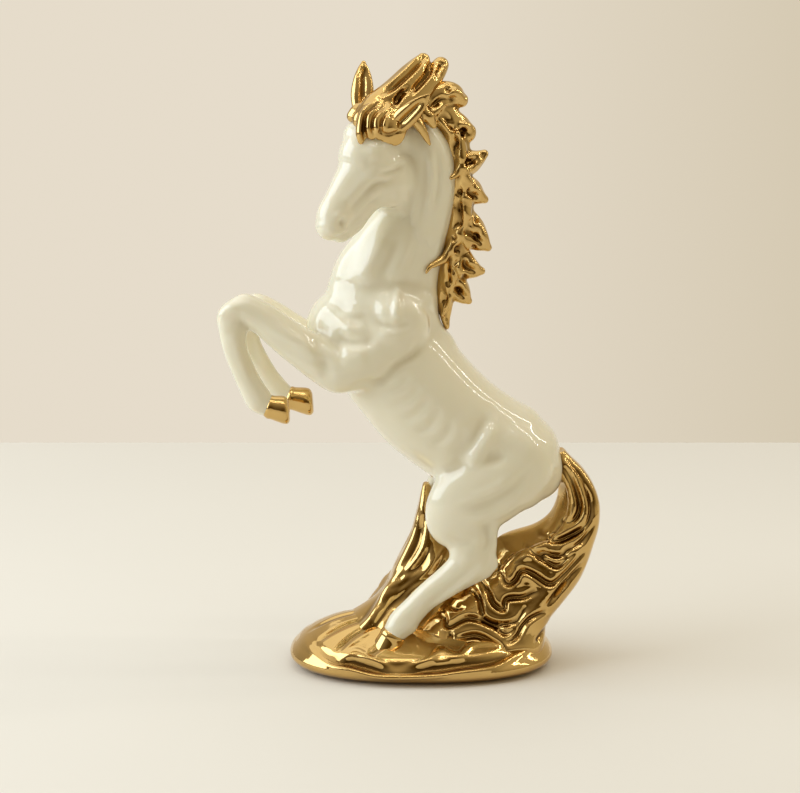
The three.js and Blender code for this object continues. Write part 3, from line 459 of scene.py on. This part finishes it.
def normals_of(mesh):
    normals = np.empty(len(mesh.vertices) * 3)
    mesh.vertex_normals.foreach_get("vector", normals)
    return normals.reshape(-1, 3)


def move(mesh, points):
    mesh.vertices.foreach_set("co", (points * MM).ravel())
    mesh.update()


def edges_of(mesh):
    edges = np.empty(len(mesh.edges) * 2, int)
    mesh.edges.foreach_get("vertices", edges)
    return edges.reshape(-1, 2)


def softened(points, edges, rounds, share=SOFTEN):
    """The points after rounds of drawing each one towards the middle of its neighbours."""
    count = len(points)
    ends = np.concatenate([edges, edges[:, ::-1]])
    degree = np.maximum(np.bincount(ends[:, 0], minlength=count), 1)
    share = np.broadcast_to(share, count)[:, None]
    for _ in range(rounds):
        near = points[ends[:, 1]]
        sums = [np.bincount(ends[:, 0], near[:, axis], count) for axis in range(3)]
        points = points + share * (np.stack(sums, 1) / degree[:, None] - points)
    return points


def ease(piece, rounds, share=SOFTEN):
    """Softens a piece as a whole, or by a share for each point."""
    move(piece.data, softened(points_of(piece.data), edges_of(piece.data), rounds, share))


def settle(piece, kind):
    """Softens what the relief has left sharp."""
    ease(piece, GRAIN[kind][-1])


def growing(values, ends):
    """From 0 at the first end to 1 at the second one."""
    start, full = ends
    return np.clip((values - start) / (full - start), 0, 1)


def fused(name, bm, kind):
    """Melts the closed forms in bm into one skin and softens its creases."""
    grain, rounds, _ = GRAIN[kind]
    bmesh.ops.recalc_face_normals(bm, faces=bm.faces)
    bmesh.ops.scale(bm, verts=bm.verts, vec=(MM, MM, MM))
    rough = bpy.data.meshes.new(name)
    bm.to_mesh(rough)
    bm.free()
    piece = bpy.data.objects.new(name, rough)
    bpy.context.scene.collection.objects.link(piece)
    melt = piece.modifiers.new("melted", "REMESH")
    melt.mode = "VOXEL"
    melt.voxel_size = grain * MM
    soft = piece.modifiers.new("softened", "SMOOTH")
    soft.factor = SOFTEN
    soft.iterations = rounds
    graph = bpy.context.evaluated_depsgraph_get()
    done = bpy.data.meshes.new_from_object(piece.evaluated_get(graph))
    piece.modifiers.clear()
    piece.data = done
    bpy.data.meshes.remove(rough)
    done.name = name
    return piece


LINE_STEPS = 6
END_SHARE = 0.3  # the part of a stroke at each end over which it fades
END_HEIGHT = 0.25  # what is left of its height at the very end
FACING_GAIN = 1.6  # how soon relief comes to its full height as the surface turns to face it


def stroke(flat, line, radius):
    """How strongly a smooth line in the plane touches each point, from 0 to 1."""
    line = spline(line, LINE_STEPS) if len(line) > 2 else np.asarray(line, float)
    steps = np.linalg.norm(np.diff(line, axis=0), axis=1)
    runs = np.concatenate([[0], np.cumsum(steps)]) / steps.sum()
    touch = np.zeros(len(flat))
    near = np.all((flat > line.min(0) - radius) & (flat < line.max(0) + radius), axis=1)
    if not near.any():
        return touch
    spot = flat[near]
    best = np.full(len(spot), np.inf)
    along = np.zeros(len(spot))
    for start, end, low, high in zip(line, line[1:], runs, runs[1:]):
        way = end - start
        t = np.clip((spot - start) @ way / (way @ way), 0, 1)
        far = ((spot - start - t[:, None] * way) ** 2).sum(1)
        closer = far < best
        best[closer] = far[closer]
        along[closer] = (low + t * (high - low))[closer]
    fall = np.clip(1 - best / radius**2, 0, 1) ** 2
    ends = np.clip(np.minimum(along, 1 - along) / END_SHARE, 0, 1)
    touch[near] = fall * (END_HEIGHT + (1 - END_HEIGHT) * ends * (2 - ends))
    return touch


def relief(piece, strokes, facing=(0, -1, 0), across=(1, 0, 0), upward=(0, 0, 1), middle=(0, 0, 0)):
    """Raises and sinks the side of a piece that faces one way, along lines drawn on the plane across it."""
    mesh = piece.data
    points = points_of(mesh)
    normals = normals_of(mesh)
    offset = points - middle
    flat = np.stack([offset @ np.array(across), offset @ np.array(upward)], 1)
    share = np.clip(normals @ np.array(facing) * FACING_GAIN, 0, 1)
    push = sum(height * stroke(flat, line, radius) for height, radius, line in strokes)
    move(mesh, points + normals * (push * share)[:, None])


def both_sides(piece, strokes):
    relief(piece, strokes, facing=(0, -1, 0))
    relief(piece, strokes, facing=(0, 1, 0))


def strengthened(strokes, strength):
    return [(height * strength, breadth * RELIEF_SPREAD, line) for height, breadth, line in strokes]


HOLLOW_ROUNDS = 90  # rounds of softening that level the hollows, to find them
FULL_HOLLOW_DEPTH = 1.2  # millimetres of hollow at which the painted shade in hollows, with the glaze's pooling, is full


def hollows_marked(piece):
    """Marks how hollow the surface is at each point, for the painted shade in hollows and, on the glaze, its
    pooling.
    """
    mesh = piece.data
    points = points_of(mesh)
    hollow = ((softened(points, edges_of(mesh), HOLLOW_ROUNDS) - points) * normals_of(mesh)).sum(1)
    mark = mesh.attributes.new("shade_and_pooling", "FLOAT", "POINT")
    mark.data.foreach_set("value", np.clip(0.5 + hollow / (2 * FULL_HOLLOW_DEPTH), 0, 1).astype(np.float32))


def dress(piece, finish):
    piece.data.materials.clear()
    piece.data.materials.append(finish)


def finished(piece, finish, nodes, place=STAND):
    """Sets a piece in its place, dresses it and hides the parts that it stands for."""
    piece.data.transform(place)
    hollows_marked(piece)
    piece.data.shade_smooth()
    dress(piece, finish)
    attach(piece, "root")
    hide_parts(*nodes)


# Materials: the tones of each finish, from its darker clouds to its lighter ones.
GLAZE_TONES = (0.85, 0.80, 0.61), (0.885, 0.84, 0.67)
# Painted shade in the hollows, together with the glaze's real pooling there: darker, warmer tones.
SHADED_POOLED_GLAZE_TONES = (0.70, 0.63, 0.43), (0.75, 0.68, 0.49)
GOLD_TONES = (0.59, 0.385, 0.135), (0.71, 0.48, 0.185)
# Painted shade: the gold turns nearly black in its hollows.
SHADED_GOLD_TONES = (0.12, 0.06, 0.012), (0.20, 0.105, 0.025)
BISQUE_TONES = (0.60, 0.55, 0.45), (0.72, 0.67, 0.57)
FELT_TONES = (0.012, 0.010, 0.008), (0.045, 0.037, 0.030)
PAPER_TONES = (0.775, 0.75, 0.69), (0.805, 0.78, 0.72)
CLOUDS = (0.3, 0.7)  # the part of a noise's range that it mostly fills


def material(name):
    made = bpy.data.materials.new(name)
    made.use_nodes = True
    nodes, links = made.node_tree.nodes, made.node_tree.links
    return made, nodes, links, nodes["Principled BSDF"]


def noise(nodes, links, scale, detail):
    where = nodes.new("ShaderNodeTexCoord")
    made = nodes.new("ShaderNodeTexNoise")
    made.inputs["Scale"].default_value = scale
    made.inputs["Detail"].default_value = detail
    links.new(where.outputs["Object"], made.inputs["Vector"])
    return made.outputs["Fac"]


def spread(nodes, links, source, taken, given):
    """Stretches one range of a value over another."""
    made = nodes.new("ShaderNodeMapRange")
    links.new(source, made.inputs["Value"])
    for name, value in zip(("From Min", "From Max", "To Min", "To Max"), (*taken, *given)):
        made.inputs[name].default_value = value
    return made.outputs["Result"]


def tint(nodes, links, factor, low, high):
    made = nodes.new("ShaderNodeValToRGB")
    links.new(factor, made.inputs["Fac"])
    made.color_ramp.elements[0].color = (*low, 1)
    made.color_ramp.elements[1].color = (*high, 1)
    return made.outputs["Color"]


def mixed(nodes, links, factor, low, high):
    made = nodes.new("ShaderNodeMix")
    made.data_type = "RGBA"
    links.new(factor, made.inputs["Factor"])
    links.new(low, made.inputs["A"])
    links.new(high, made.inputs["B"])
    return made.outputs["Result"]


# Reads back the hollow mark, which brings painted shade into hollows, and on the glaze its pooling.
def shade_and_pooling(nodes):
    made = nodes.new("ShaderNodeAttribute")
    made.attribute_name = "shade_and_pooling"
    return made.outputs["Fac"]


def bump(nodes, links, shader, height, strength, distance):
    made = nodes.new("ShaderNodeBump")
    made.inputs["Strength"].default_value = strength
    made.inputs["Distance"].default_value = distance
    links.new(height, made.inputs["Height"])
    links.new(made.outputs["Normal"], shader.inputs["Normal"])


def shaded_in_hollows(nodes, links, shader, clouds, tones, shaded_tones, hollows, most):
    """A finish that turns to darker tones in hollows: painted shade, and on the glaze also its pooling."""
    open_tone = tint(nodes, links, clouds, *tones)
    shaded = tint(nodes, links, clouds, *shaded_tones)
    share = spread(nodes, links, shade_and_pooling(nodes), hollows, (0, most))
    links.new(mixed(nodes, links, share, open_tone, shaded), shader.inputs["Base Color"])


def mottled(nodes, links, shader, scale, detail, roughness):
    """A sheen that varies in patches."""
    patches = noise(nodes, links, scale, detail)
    links.new(spread(nodes, links, patches, CLOUDS, roughness), shader.inputs["Roughness"])


GLAZE_SOCKETS = {
    "Specular IOR Level": 0.2, "Subsurface Weight": 0.22, "Subsurface Radius": (1.0, 0.8, 0.55),
    "Subsurface Scale": 0.006, "Coat Weight": 1.0, "Coat Roughness": 0.02, "Coat IOR": 1.52,
}


def glaze_material():
    made, nodes, links, shader = material("white_glaze")
    clouds = noise(nodes, links, scale=22, detail=3)
    # The glaze darkens and warms in its hollows: painted shade, with some real pooling of the glaze.
    shaded_in_hollows(nodes, links, shader, clouds, GLAZE_TONES, SHADED_POOLED_GLAZE_TONES, hollows=(0.5, 0.95), most=0.75)
    mottled(nodes, links, shader, scale=60, detail=2, roughness=(0.12, 0.18))
    for name, value in GLAZE_SOCKETS.items():
        shader.inputs[name].default_value = value
    bump(nodes, links, shader, noise(nodes, links, scale=120, detail=1), strength=0.035, distance=0.0006)
    return made


def gold_material():
    made, nodes, links, shader = material("gold_lustre")
    clouds = noise(nodes, links, scale=45, detail=4)
    # The gold darkens nearly to black in its hollows: painted shade.
    shaded_in_hollows(nodes, links, shader, clouds, GOLD_TONES, SHADED_GOLD_TONES, hollows=(0.5, 0.84), most=0.95)
    mottled(nodes, links, shader, scale=90, detail=3, roughness=(0.05, 0.11))
    shader.inputs["Metallic"].default_value = 1.0
    bump(nodes, links, shader, noise(nodes, links, scale=130, detail=3), strength=0.10, distance=0.0010)
    return made


def bisque_material():
    made, nodes, links, shader = material("bisque")
    clouds = noise(nodes, links, scale=240, detail=5)
    links.new(tint(nodes, links, clouds, *BISQUE_TONES), shader.inputs["Base Color"])
    mottled(nodes, links, shader, scale=500, detail=2, roughness=(0.75, 0.95))
    bump(nodes, links, shader, noise(nodes, links, scale=900, detail=4), strength=0.3, distance=0.0002)
    return made


def felt_material():
    made, nodes, links, shader = material("felt")
    fibres = noise(nodes, links, scale=1500, detail=4)
    links.new(tint(nodes, links, fibres, *FELT_TONES), shader.inputs["Base Color"])
    mottled(nodes, links, shader, scale=900, detail=2, roughness=(0.85, 1.0))
    bump(nodes, links, shader, noise(nodes, links, scale=2500, detail=3), strength=0.6, distance=0.0003)
    return made


GLAZE, GOLD, BISQUE, FELT = glaze_material(), gold_material(), bisque_material(), felt_material()


# The horse.
def lowered(rows, upper, lower):
    """The right limb for a left one, back and down by `upper` at its first row and `lower` at its last."""
    shifts = np.linspace(upper, lower, len(rows))
    right = mirrored(rows)
    return [(x + back, y, z - down, *size) for (back, down), (x, y, z, *size) in zip(shifts, right)]


RIGHT_FOREARM = lowered(FOREARM, ELBOW_DROP, KNEE_DROP)
RIGHT_CANNON = lowered(FORE_CANNON, KNEE_DROP, FETLOCK_DROP)


def horse_body():
    bm = bmesh.new()
    neck = [(x, y, z, deep - tuck, wide - tuck) for tuck, (x, y, z, deep, wide) in zip(NECK_TUCK, NECK)]
    for rows in (BARREL, neck):
        limb(bm, rows, sides=40)
    for rows in (UPPER_ARM, THIGH):
        limb(bm, rows, sides=32)
        limb(bm, mirrored(rows), sides=32)
    for rows in (FOREARM, FORE_CANNON, HIND_CANNON, RIGHT_FOREARM, RIGHT_CANNON, mirrored(HIND_CANNON)):
        limb(bm, rows)
    joints = [KNEE, FETLOCK, *lowered([KNEE, FETLOCK], KNEE_DROP, FETLOCK_DROP)]
    for row in MIDDLE_MASSES + SIDE_MASSES + mirrored(SIDE_MASSES) + joints:
        mass(bm, *row)
    piece = fused("horse_body", bm, "horse_body")
    points = points_of(piece.data)
    thick = growing(points[:, 2], BODY_RISE) * growing(points[:, 0], BODY_BACK)
    ease(piece, BODY_ROUNDS, SOFTEN * thick)
    both_sides(piece, strengthened(SIDE_RELIEF, MUSCLE))
    settle(piece, "horse_body")
    finished(piece, GLAZE, [
        "torso", "neck", "left_foreleg", "right_foreleg", "left_hind_leg", "right_hind_leg"])


def horse_head():
    """The head and the nape, which dips into the neck without a crease."""
    bm = bmesh.new()
    for rows in (SKULL, JAW):
        limb(bm, rows, sides=32)
    for row in HEAD_MIDDLE + HEAD_SIDES + mirrored(HEAD_SIDES):
        mass(bm, *row)
    bmesh.ops.transform(bm, matrix=Matrix.Translation(CROWN) @ TURNED, verts=bm.verts)
    nape = NECK[NAPE_FROM:]
    swells = np.linspace(*NAPE_SWELL, len(nape))
    nape = [(x, y, z, deep + swell, wide + swell) for swell, (x, y, z, deep, wide) in zip(swells, nape)]
    limb(bm, nape, sides=40)
    piece = fused("horse_head", bm, "horse_head")
    turn = TURNED.to_3x3()
    x, _, z = ((points_of(piece.data) - CROWN) @ np.array(turn)).T
    behind = growing(x, NAPE_BACK) * growing(z, NAPE_RISE)
    below = growing(x, JAW_BACK) * growing(z, JAW_FALL)
    ease(piece, HEAD_ROUNDS, SOFTEN * np.maximum(behind, below))
    face = strengthened(FACE_RELIEF, FACE)
    for side in (-1, 1):
        relief(piece, face, turn @ Vector((0, side, 0)), turn @ Vector((1, 0, 0)), middle=CROWN)
    both_sides(piece, NAPE_RELIEF)
    settle(piece, "horse_head")
    finished(piece, GLAZE, ["head"])


# The gilded pieces.
def tube(bm, rows):
    """A strand with round ends through rows of x, y, z and radius."""
    limb(bm, [(x, y, z, radius, radius) for x, y, z, radius in rows], sides=18, steps=5)


def upright(bm, levels, squareness, sides=72):
    """A wall that stands up through level sections."""
    loops = []
    for z, low, high, half, middle in spline(levels, 4):
        centre = Vector(((low + high) / 2, middle, z))
        reach = Vector(((high - low) / 2, half, 1))
        edges = ring(bm, centre, Vector((reach.x, 0, 0)), Vector((0, half, 0)), Vector((0, 0, 1)), sides)
        for vert in {vert for edge in edges for vert in edge.verts}:
            for axis in (0, 1):
                share = (vert.co[axis] - centre[axis]) / reach[axis]
                vert.co[axis] = centre[axis] + reach[axis] * math.copysign(abs(share) ** squareness, share)
        loops.append(edges)
    skin(bm, loops)


LIP_HEIGHT, LIP_BREADTH, GROOVE_DEPTH = 0.3, 1.9, 1.5  # as shares of a groove's own depth and half breadth


def engraved(lines, depth, radius):
    """Strokes for grooves with raised lips."""
    lips = [(LIP_HEIGHT * depth, LIP_BREADTH * radius, line) for line in lines]
    return lips + [(-GROOVE_DEPTH * depth, radius, line) for line in lines]


def gilded(name, piece, place=STAND):
    piece.name = piece.data.name = "gilded_" + name
    finished(piece, GOLD, [name], place)


def hoof(name, cannon, pose, stretch=1):
    """A hoof carries on from the end of its cannon and flares to a flat sole."""
    x, y, z, deep, wide = cannon[-1]
    aim, turn = pose
    aim = Vector(aim).normalized()
    across = Vector((0, 1, 0))
    bm = bmesh.new()
    loops = []
    for share, flare in spline(HOOF_OUTLINE, steps=3):
        along = Matrix.Rotation(turn * share, 3, "Y") @ aim
        radius = max(deep, wide) + flare
        middle = Vector((x, y, z)) + aim * HOOF_LENGTH * stretch * share
        loops.append(ring(bm, middle, across.cross(along) * radius, across * radius, along, sides=36))
    skin(bm, loops)
    gilded(name, fused(name, bm, "hoof"))


def ear(name):
    *ways, length, width = EARS[name]
    root, aim, hollow = (Vector(way) for way in ways)
    aim.normalize()
    hollow = (hollow - aim * hollow.dot(aim)).normalized()
    rows = [
        (*(root + aim * length * share), width * broad, width * thick)
        for share, broad, thick in EAR_TAPER
    ]
    bm = bmesh.new()
    limb(bm, rows, sides=28, breadth=hollow)
    piece = fused(name, bm, "ear")
    depth, breadth = EAR_BOWL
    bowl = [(depth * width, breadth * width, [(0, length * share) for share in EAR_BOWL_RUN])]
    relief(piece, bowl, facing=hollow, across=aim.cross(hollow), upward=aim, middle=root)
    gilded(name, piece, HEAD)


VIEWER = TURNED.to_3x3().transposed()  # turns a way in the room into one on the head


def forelock():
    bm = bmesh.new()
    for rows in FRINGE:
        tube(bm, rows)
    point, way = FRINGE_SLANT
    whole = list(bm.verts) + list(bm.edges) + list(bm.faces)
    bmesh.ops.bisect_plane(bm, geom=whole, plane_co=point, plane_no=way, clear_outer=True)
    bmesh.ops.holes_fill(bm, edges=[edge for edge in bm.edges if edge.is_boundary])
    for rows in [*SWEPT_BACK, POINTED_LOCK]:
        tube(bm, rows)
    piece = fused("forelock", bm, "forelock")
    lines = engraved(FRINGE_GROOVES, *FRINGE_CUT) + engraved(FORELOCK_HOLLOWS, *HOLLOW_CUT)
    lines += [(*CREASE_CUT, FRINGE_CREASE), (*EDGE_RISE, FORELOCK_EDGE)]
    across = VIEWER @ Vector((1, 0, 0))
    relief(piece, lines, VIEWER @ Vector((0, -1, 0.1)), across)
    relief(piece, engraved(FORELOCK_HOLLOWS, *FAR_HOLLOW_CUT), VIEWER @ Vector((0, 1, 0)), across)
    settle(piece, "forelock")
    gilded("forelock", piece, HEAD)


def mane():
    bm = bmesh.new()
    for rows in [CREST, *LOBES]:
        limb(bm, rows)
    levels = sorted((z, y) for x, y, z, *size in CREST)
    for rows in MANE_STRANDS:
        tube(bm, rows)
        middles = np.interp([z for x, y, z, radius in rows], *zip(*levels))
        tube(bm, [(x, 2 * middle - y, z, radius) for (x, y, z, radius), middle in zip(rows, middles)])
    for rows in CROWN_STRANDS:
        tube(bm, rows)
    piece = fused("mane", bm, "mane")
    waves = [(*RIDGE_RISE, line) for line in MANE_RIDGES] + engraved(MANE_HOLLOWS, *MANE_CUT)
    cells = [[(x, z + CELL_HALF), (x - CELL_LEAN, z - CELL_HALF)] for x, z in MANE_CELLS]
    both_sides(piece, waves + [(*CELL_CUT, line) for line in cells])
    settle(piece, "mane")
    gilded("mane", piece)


def tail():
    bm = bmesh.new()
    upright(bm, TAIL, TAIL_SQUARENESS)
    piece = fused("tail", bm, "tail")
    slope = math.sqrt(0.5)
    scoop = [(*SCOOP_CUT, SCOOP)]
    relief(piece, scoop, (-slope, 0, slope), (0, 1, 0), (slope, 0, slope), middle=SCOOP_FOOT)
    both_sides(piece, engraved(TAIL_LINES, *TAIL_CUT) + [(*RIM_RISE, TAIL_RIM)])
    settle(piece, "tail")
    gilded("tail", piece)


def plume():
    bm = bmesh.new()
    upright(bm, PLUME, PLUME_SQUARENESS)
    piece = fused("plume", bm, "plume")
    both_sides(piece, [(*PLUME_RISE, line) for line in PLUME_LINES])
    settle(piece, "plume")
    gilded("plume", piece)


def base():
    bm = bmesh.new()
    upright(bm, BASE, BASE_SQUARENESS, BASE_SIDES)
    piece = fused("base", bm, "base")
    groove = [(x, z + LEDGE_CUT_UP) for x, z in LEDGE]
    both_sides(piece, [(*LEDGE_RISE, LEDGE), (*LEDGE_CUT, groove), (*LEDGE_TOP_RISE, LEDGE_TOP)])
    relief(piece, engraved(BASE_RIPPLES, *RIPPLE_CUT), (0, 0, 1), (1, 0, 0), (0, 1, 0))
    gilded("base", piece)


horse_body()
horse_head()
hoof("left_fore_hoof", FORE_CANNON, FORE_HOOF)
hoof("right_fore_hoof", RIGHT_CANNON, FORE_HOOF, RIGHT_STRETCH)
for side, cannon in (("left", HIND_CANNON), ("right", mirrored(HIND_CANNON))):
    hoof(side + "_hind_hoof", cannon, HIND_HOOF)
for name in EARS:
    ear(name)
forelock()
mane()
tail()
plume()
base()

# The slab and the pads keep their solids. The other solids are out of sight under the pieces above.
for name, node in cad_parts.items():
    dress(node, FELT if name.startswith("felt_pad") else BISQUE)

# Stage, light and camera, in metres and watts.
FLOOR_HALF, FLOOR_END = 3, 0.65  # half of its side, and where it ends behind the ornament
FLOOR_ROUGHNESS = 0.7


def stage():
    bm = bmesh.new()
    bmesh.ops.create_grid(bm, x_segments=1, y_segments=1, size=FLOOR_HALF)
    bmesh.ops.translate(bm, verts=bm.verts, vec=(0, FLOOR_END - FLOOR_HALF, 0))
    mesh = bpy.data.meshes.new("floor")
    bm.to_mesh(mesh)
    bm.free()
    floor = bpy.data.objects.new("floor", mesh)
    bpy.context.scene.collection.objects.link(floor)
    made, nodes, links, shader = material("floor_paper")
    clouds = noise(nodes, links, scale=3, detail=2)
    links.new(tint(nodes, links, clouds, *PAPER_TONES), shader.inputs["Base Color"])
    shader.inputs["Roughness"].default_value = FLOOR_ROUGHNESS
    mesh.materials.append(made)


# Lamps: where each one hangs, what it aims at, its width and length, its power and its colour.
DAYLIGHT, SKYLIGHT, LAMPLIGHT = (0.77, 0.875, 1), (0.85, 0.915, 1), (1, 0.96, 0.9)
LAMPS = {
    "window": ((-1.6, -0.25, 0.95), (0, 0, 0.2), (1.6, 1.4), 24, DAYLIGHT),
    "ceiling": ((-0.4, 0.55, 2.1), (0, 0.4, 0), (2.4, 2.4), 12.5, SKYLIGHT),
    "strip_near": ((0.95, -0.04, 1.02), (0, 0, 0.17), (0.018, 1.0), 1.2, LAMPLIGHT),
    "strip_far": ((0.93, 0.25, 1.0), (0, 0, 0.17), (0.018, 1.0), 1.2, LAMPLIGHT),
    "tube_front": ((0, -0.85, 1.9), (0, 0, 0.2), (1.7, 0.03), 1.6, LAMPLIGHT),
    "tube_back": ((0, -0.45, 1.9), (0, 0, 0.2), (1.7, 0.03), 1.6, LAMPLIGHT),
}


def lamp(name, place, aim, size, power, colour):
    data = bpy.data.lights.new(name, "AREA")
    data.shape = "RECTANGLE"
    data.size, data.size_y = size
    data.energy = power
    data.color = colour
    made = bpy.data.objects.new(name, data)
    made.location = place
    made.rotation_euler = (Vector(aim) - Vector(place)).to_track_quat("-Z", "Y").to_euler()
    bpy.context.scene.collection.objects.link(made)


# The light that the room throws back: the way it comes from, its colour, and how narrow it is.
ROOM = [
    ((0, 0, 1), (0.70, 0.61, 0.45), 2), ((1, 0, 0), (0.57, 0.51, 0.36), 2),
    ((0, 1, 0), (0.76, 0.69, 0.56), 2.5), ((-1, 0, 0), (0.40, 0.37, 0.32), 2),
    ((0, -1, 0), (0.08, 0.045, 0.0), 2),
]
# The wall behind is seen by the camera alone, and darkens from its middle to its right: painted shade.
WALL_TONES = (0.79, 0.715, 0.595), (0.67, 0.59, 0.45)
WALL_RUN = (0, 0.17)


def room(nodes, links, direction):
    """The room as a sum of soft lobes of light."""
    total = None
    for way, colour, narrow in ROOM:
        share = nodes.new("ShaderNodeVectorMath")
        share.operation = "DOT_PRODUCT"
        links.new(direction, share.inputs[0])
        share.inputs[1].default_value = way
        facing = nodes.new("ShaderNodeMath")
        facing.operation = "MAXIMUM"
        links.new(share.outputs["Value"], facing.inputs[0])
        facing.inputs[1].default_value = 0
        lobe = nodes.new("ShaderNodeMath")
        lobe.operation = "POWER"
        links.new(facing.outputs["Value"], lobe.inputs[0])
        lobe.inputs[1].default_value = narrow
        side = nodes.new("ShaderNodeBackground")
        side.inputs["Color"].default_value = (*colour, 1)
        links.new(lobe.outputs["Value"], side.inputs["Strength"])
        if total is None:
            total = side.outputs["Background"]
            continue
        both = nodes.new("ShaderNodeAddShader")
        links.new(total, both.inputs[0])
        links.new(side.outputs["Background"], both.inputs[1])
        total = both.outputs["Shader"]
    return total


def light():
    for name, setting in LAMPS.items():
        lamp(name, *setting)
    world = bpy.data.worlds.new("studio")
    bpy.context.scene.world = world
    world.use_nodes = True
    nodes, links = world.node_tree.nodes, world.node_tree.links
    nodes.clear()
    way = nodes.new("ShaderNodeTexCoord")
    parts = nodes.new("ShaderNodeSeparateXYZ")
    links.new(way.outputs["Generated"], parts.inputs["Vector"])
    seen = nodes.new("ShaderNodeBackground")
    run = spread(nodes, links, parts.outputs["X"], WALL_RUN, (0, 1))
    links.new(tint(nodes, links, run, *WALL_TONES), seen.inputs["Color"])
    ray = nodes.new("ShaderNodeLightPath")
    blend = nodes.new("ShaderNodeMixShader")
    links.new(ray.outputs["Is Camera Ray"], blend.inputs["Fac"])
    links.new(room(nodes, links, way.outputs["Generated"]), blend.inputs[1])
    links.new(seen.outputs["Background"], blend.inputs[2])
    out = nodes.new("ShaderNodeOutputWorld")
    links.new(blend.outputs["Shader"], out.inputs["Surface"])


CAMERA_PLACE = (-0.0066, -1.42, 0.447)
CAMERA_DOWN = 11.06  # degrees below level
CAMERA_LENS, CAMERA_SENSOR = 105.5, 36  # millimetres
CAMERA_REACH = 50


def camera():
    data = bpy.data.cameras.new("camera")
    data.lens = CAMERA_LENS
    data.sensor_width = CAMERA_SENSOR
    data.clip_end = CAMERA_REACH
    made = bpy.data.objects.new("camera", data)
    made.location = CAMERA_PLACE
    made.rotation_euler = (math.radians(90 - CAMERA_DOWN), 0, 0)
    bpy.context.scene.collection.objects.link(made)
    bpy.context.scene.camera = made


stage()
light()
camera()
bpy.context.scene.view_settings.view_transform = "Standard"
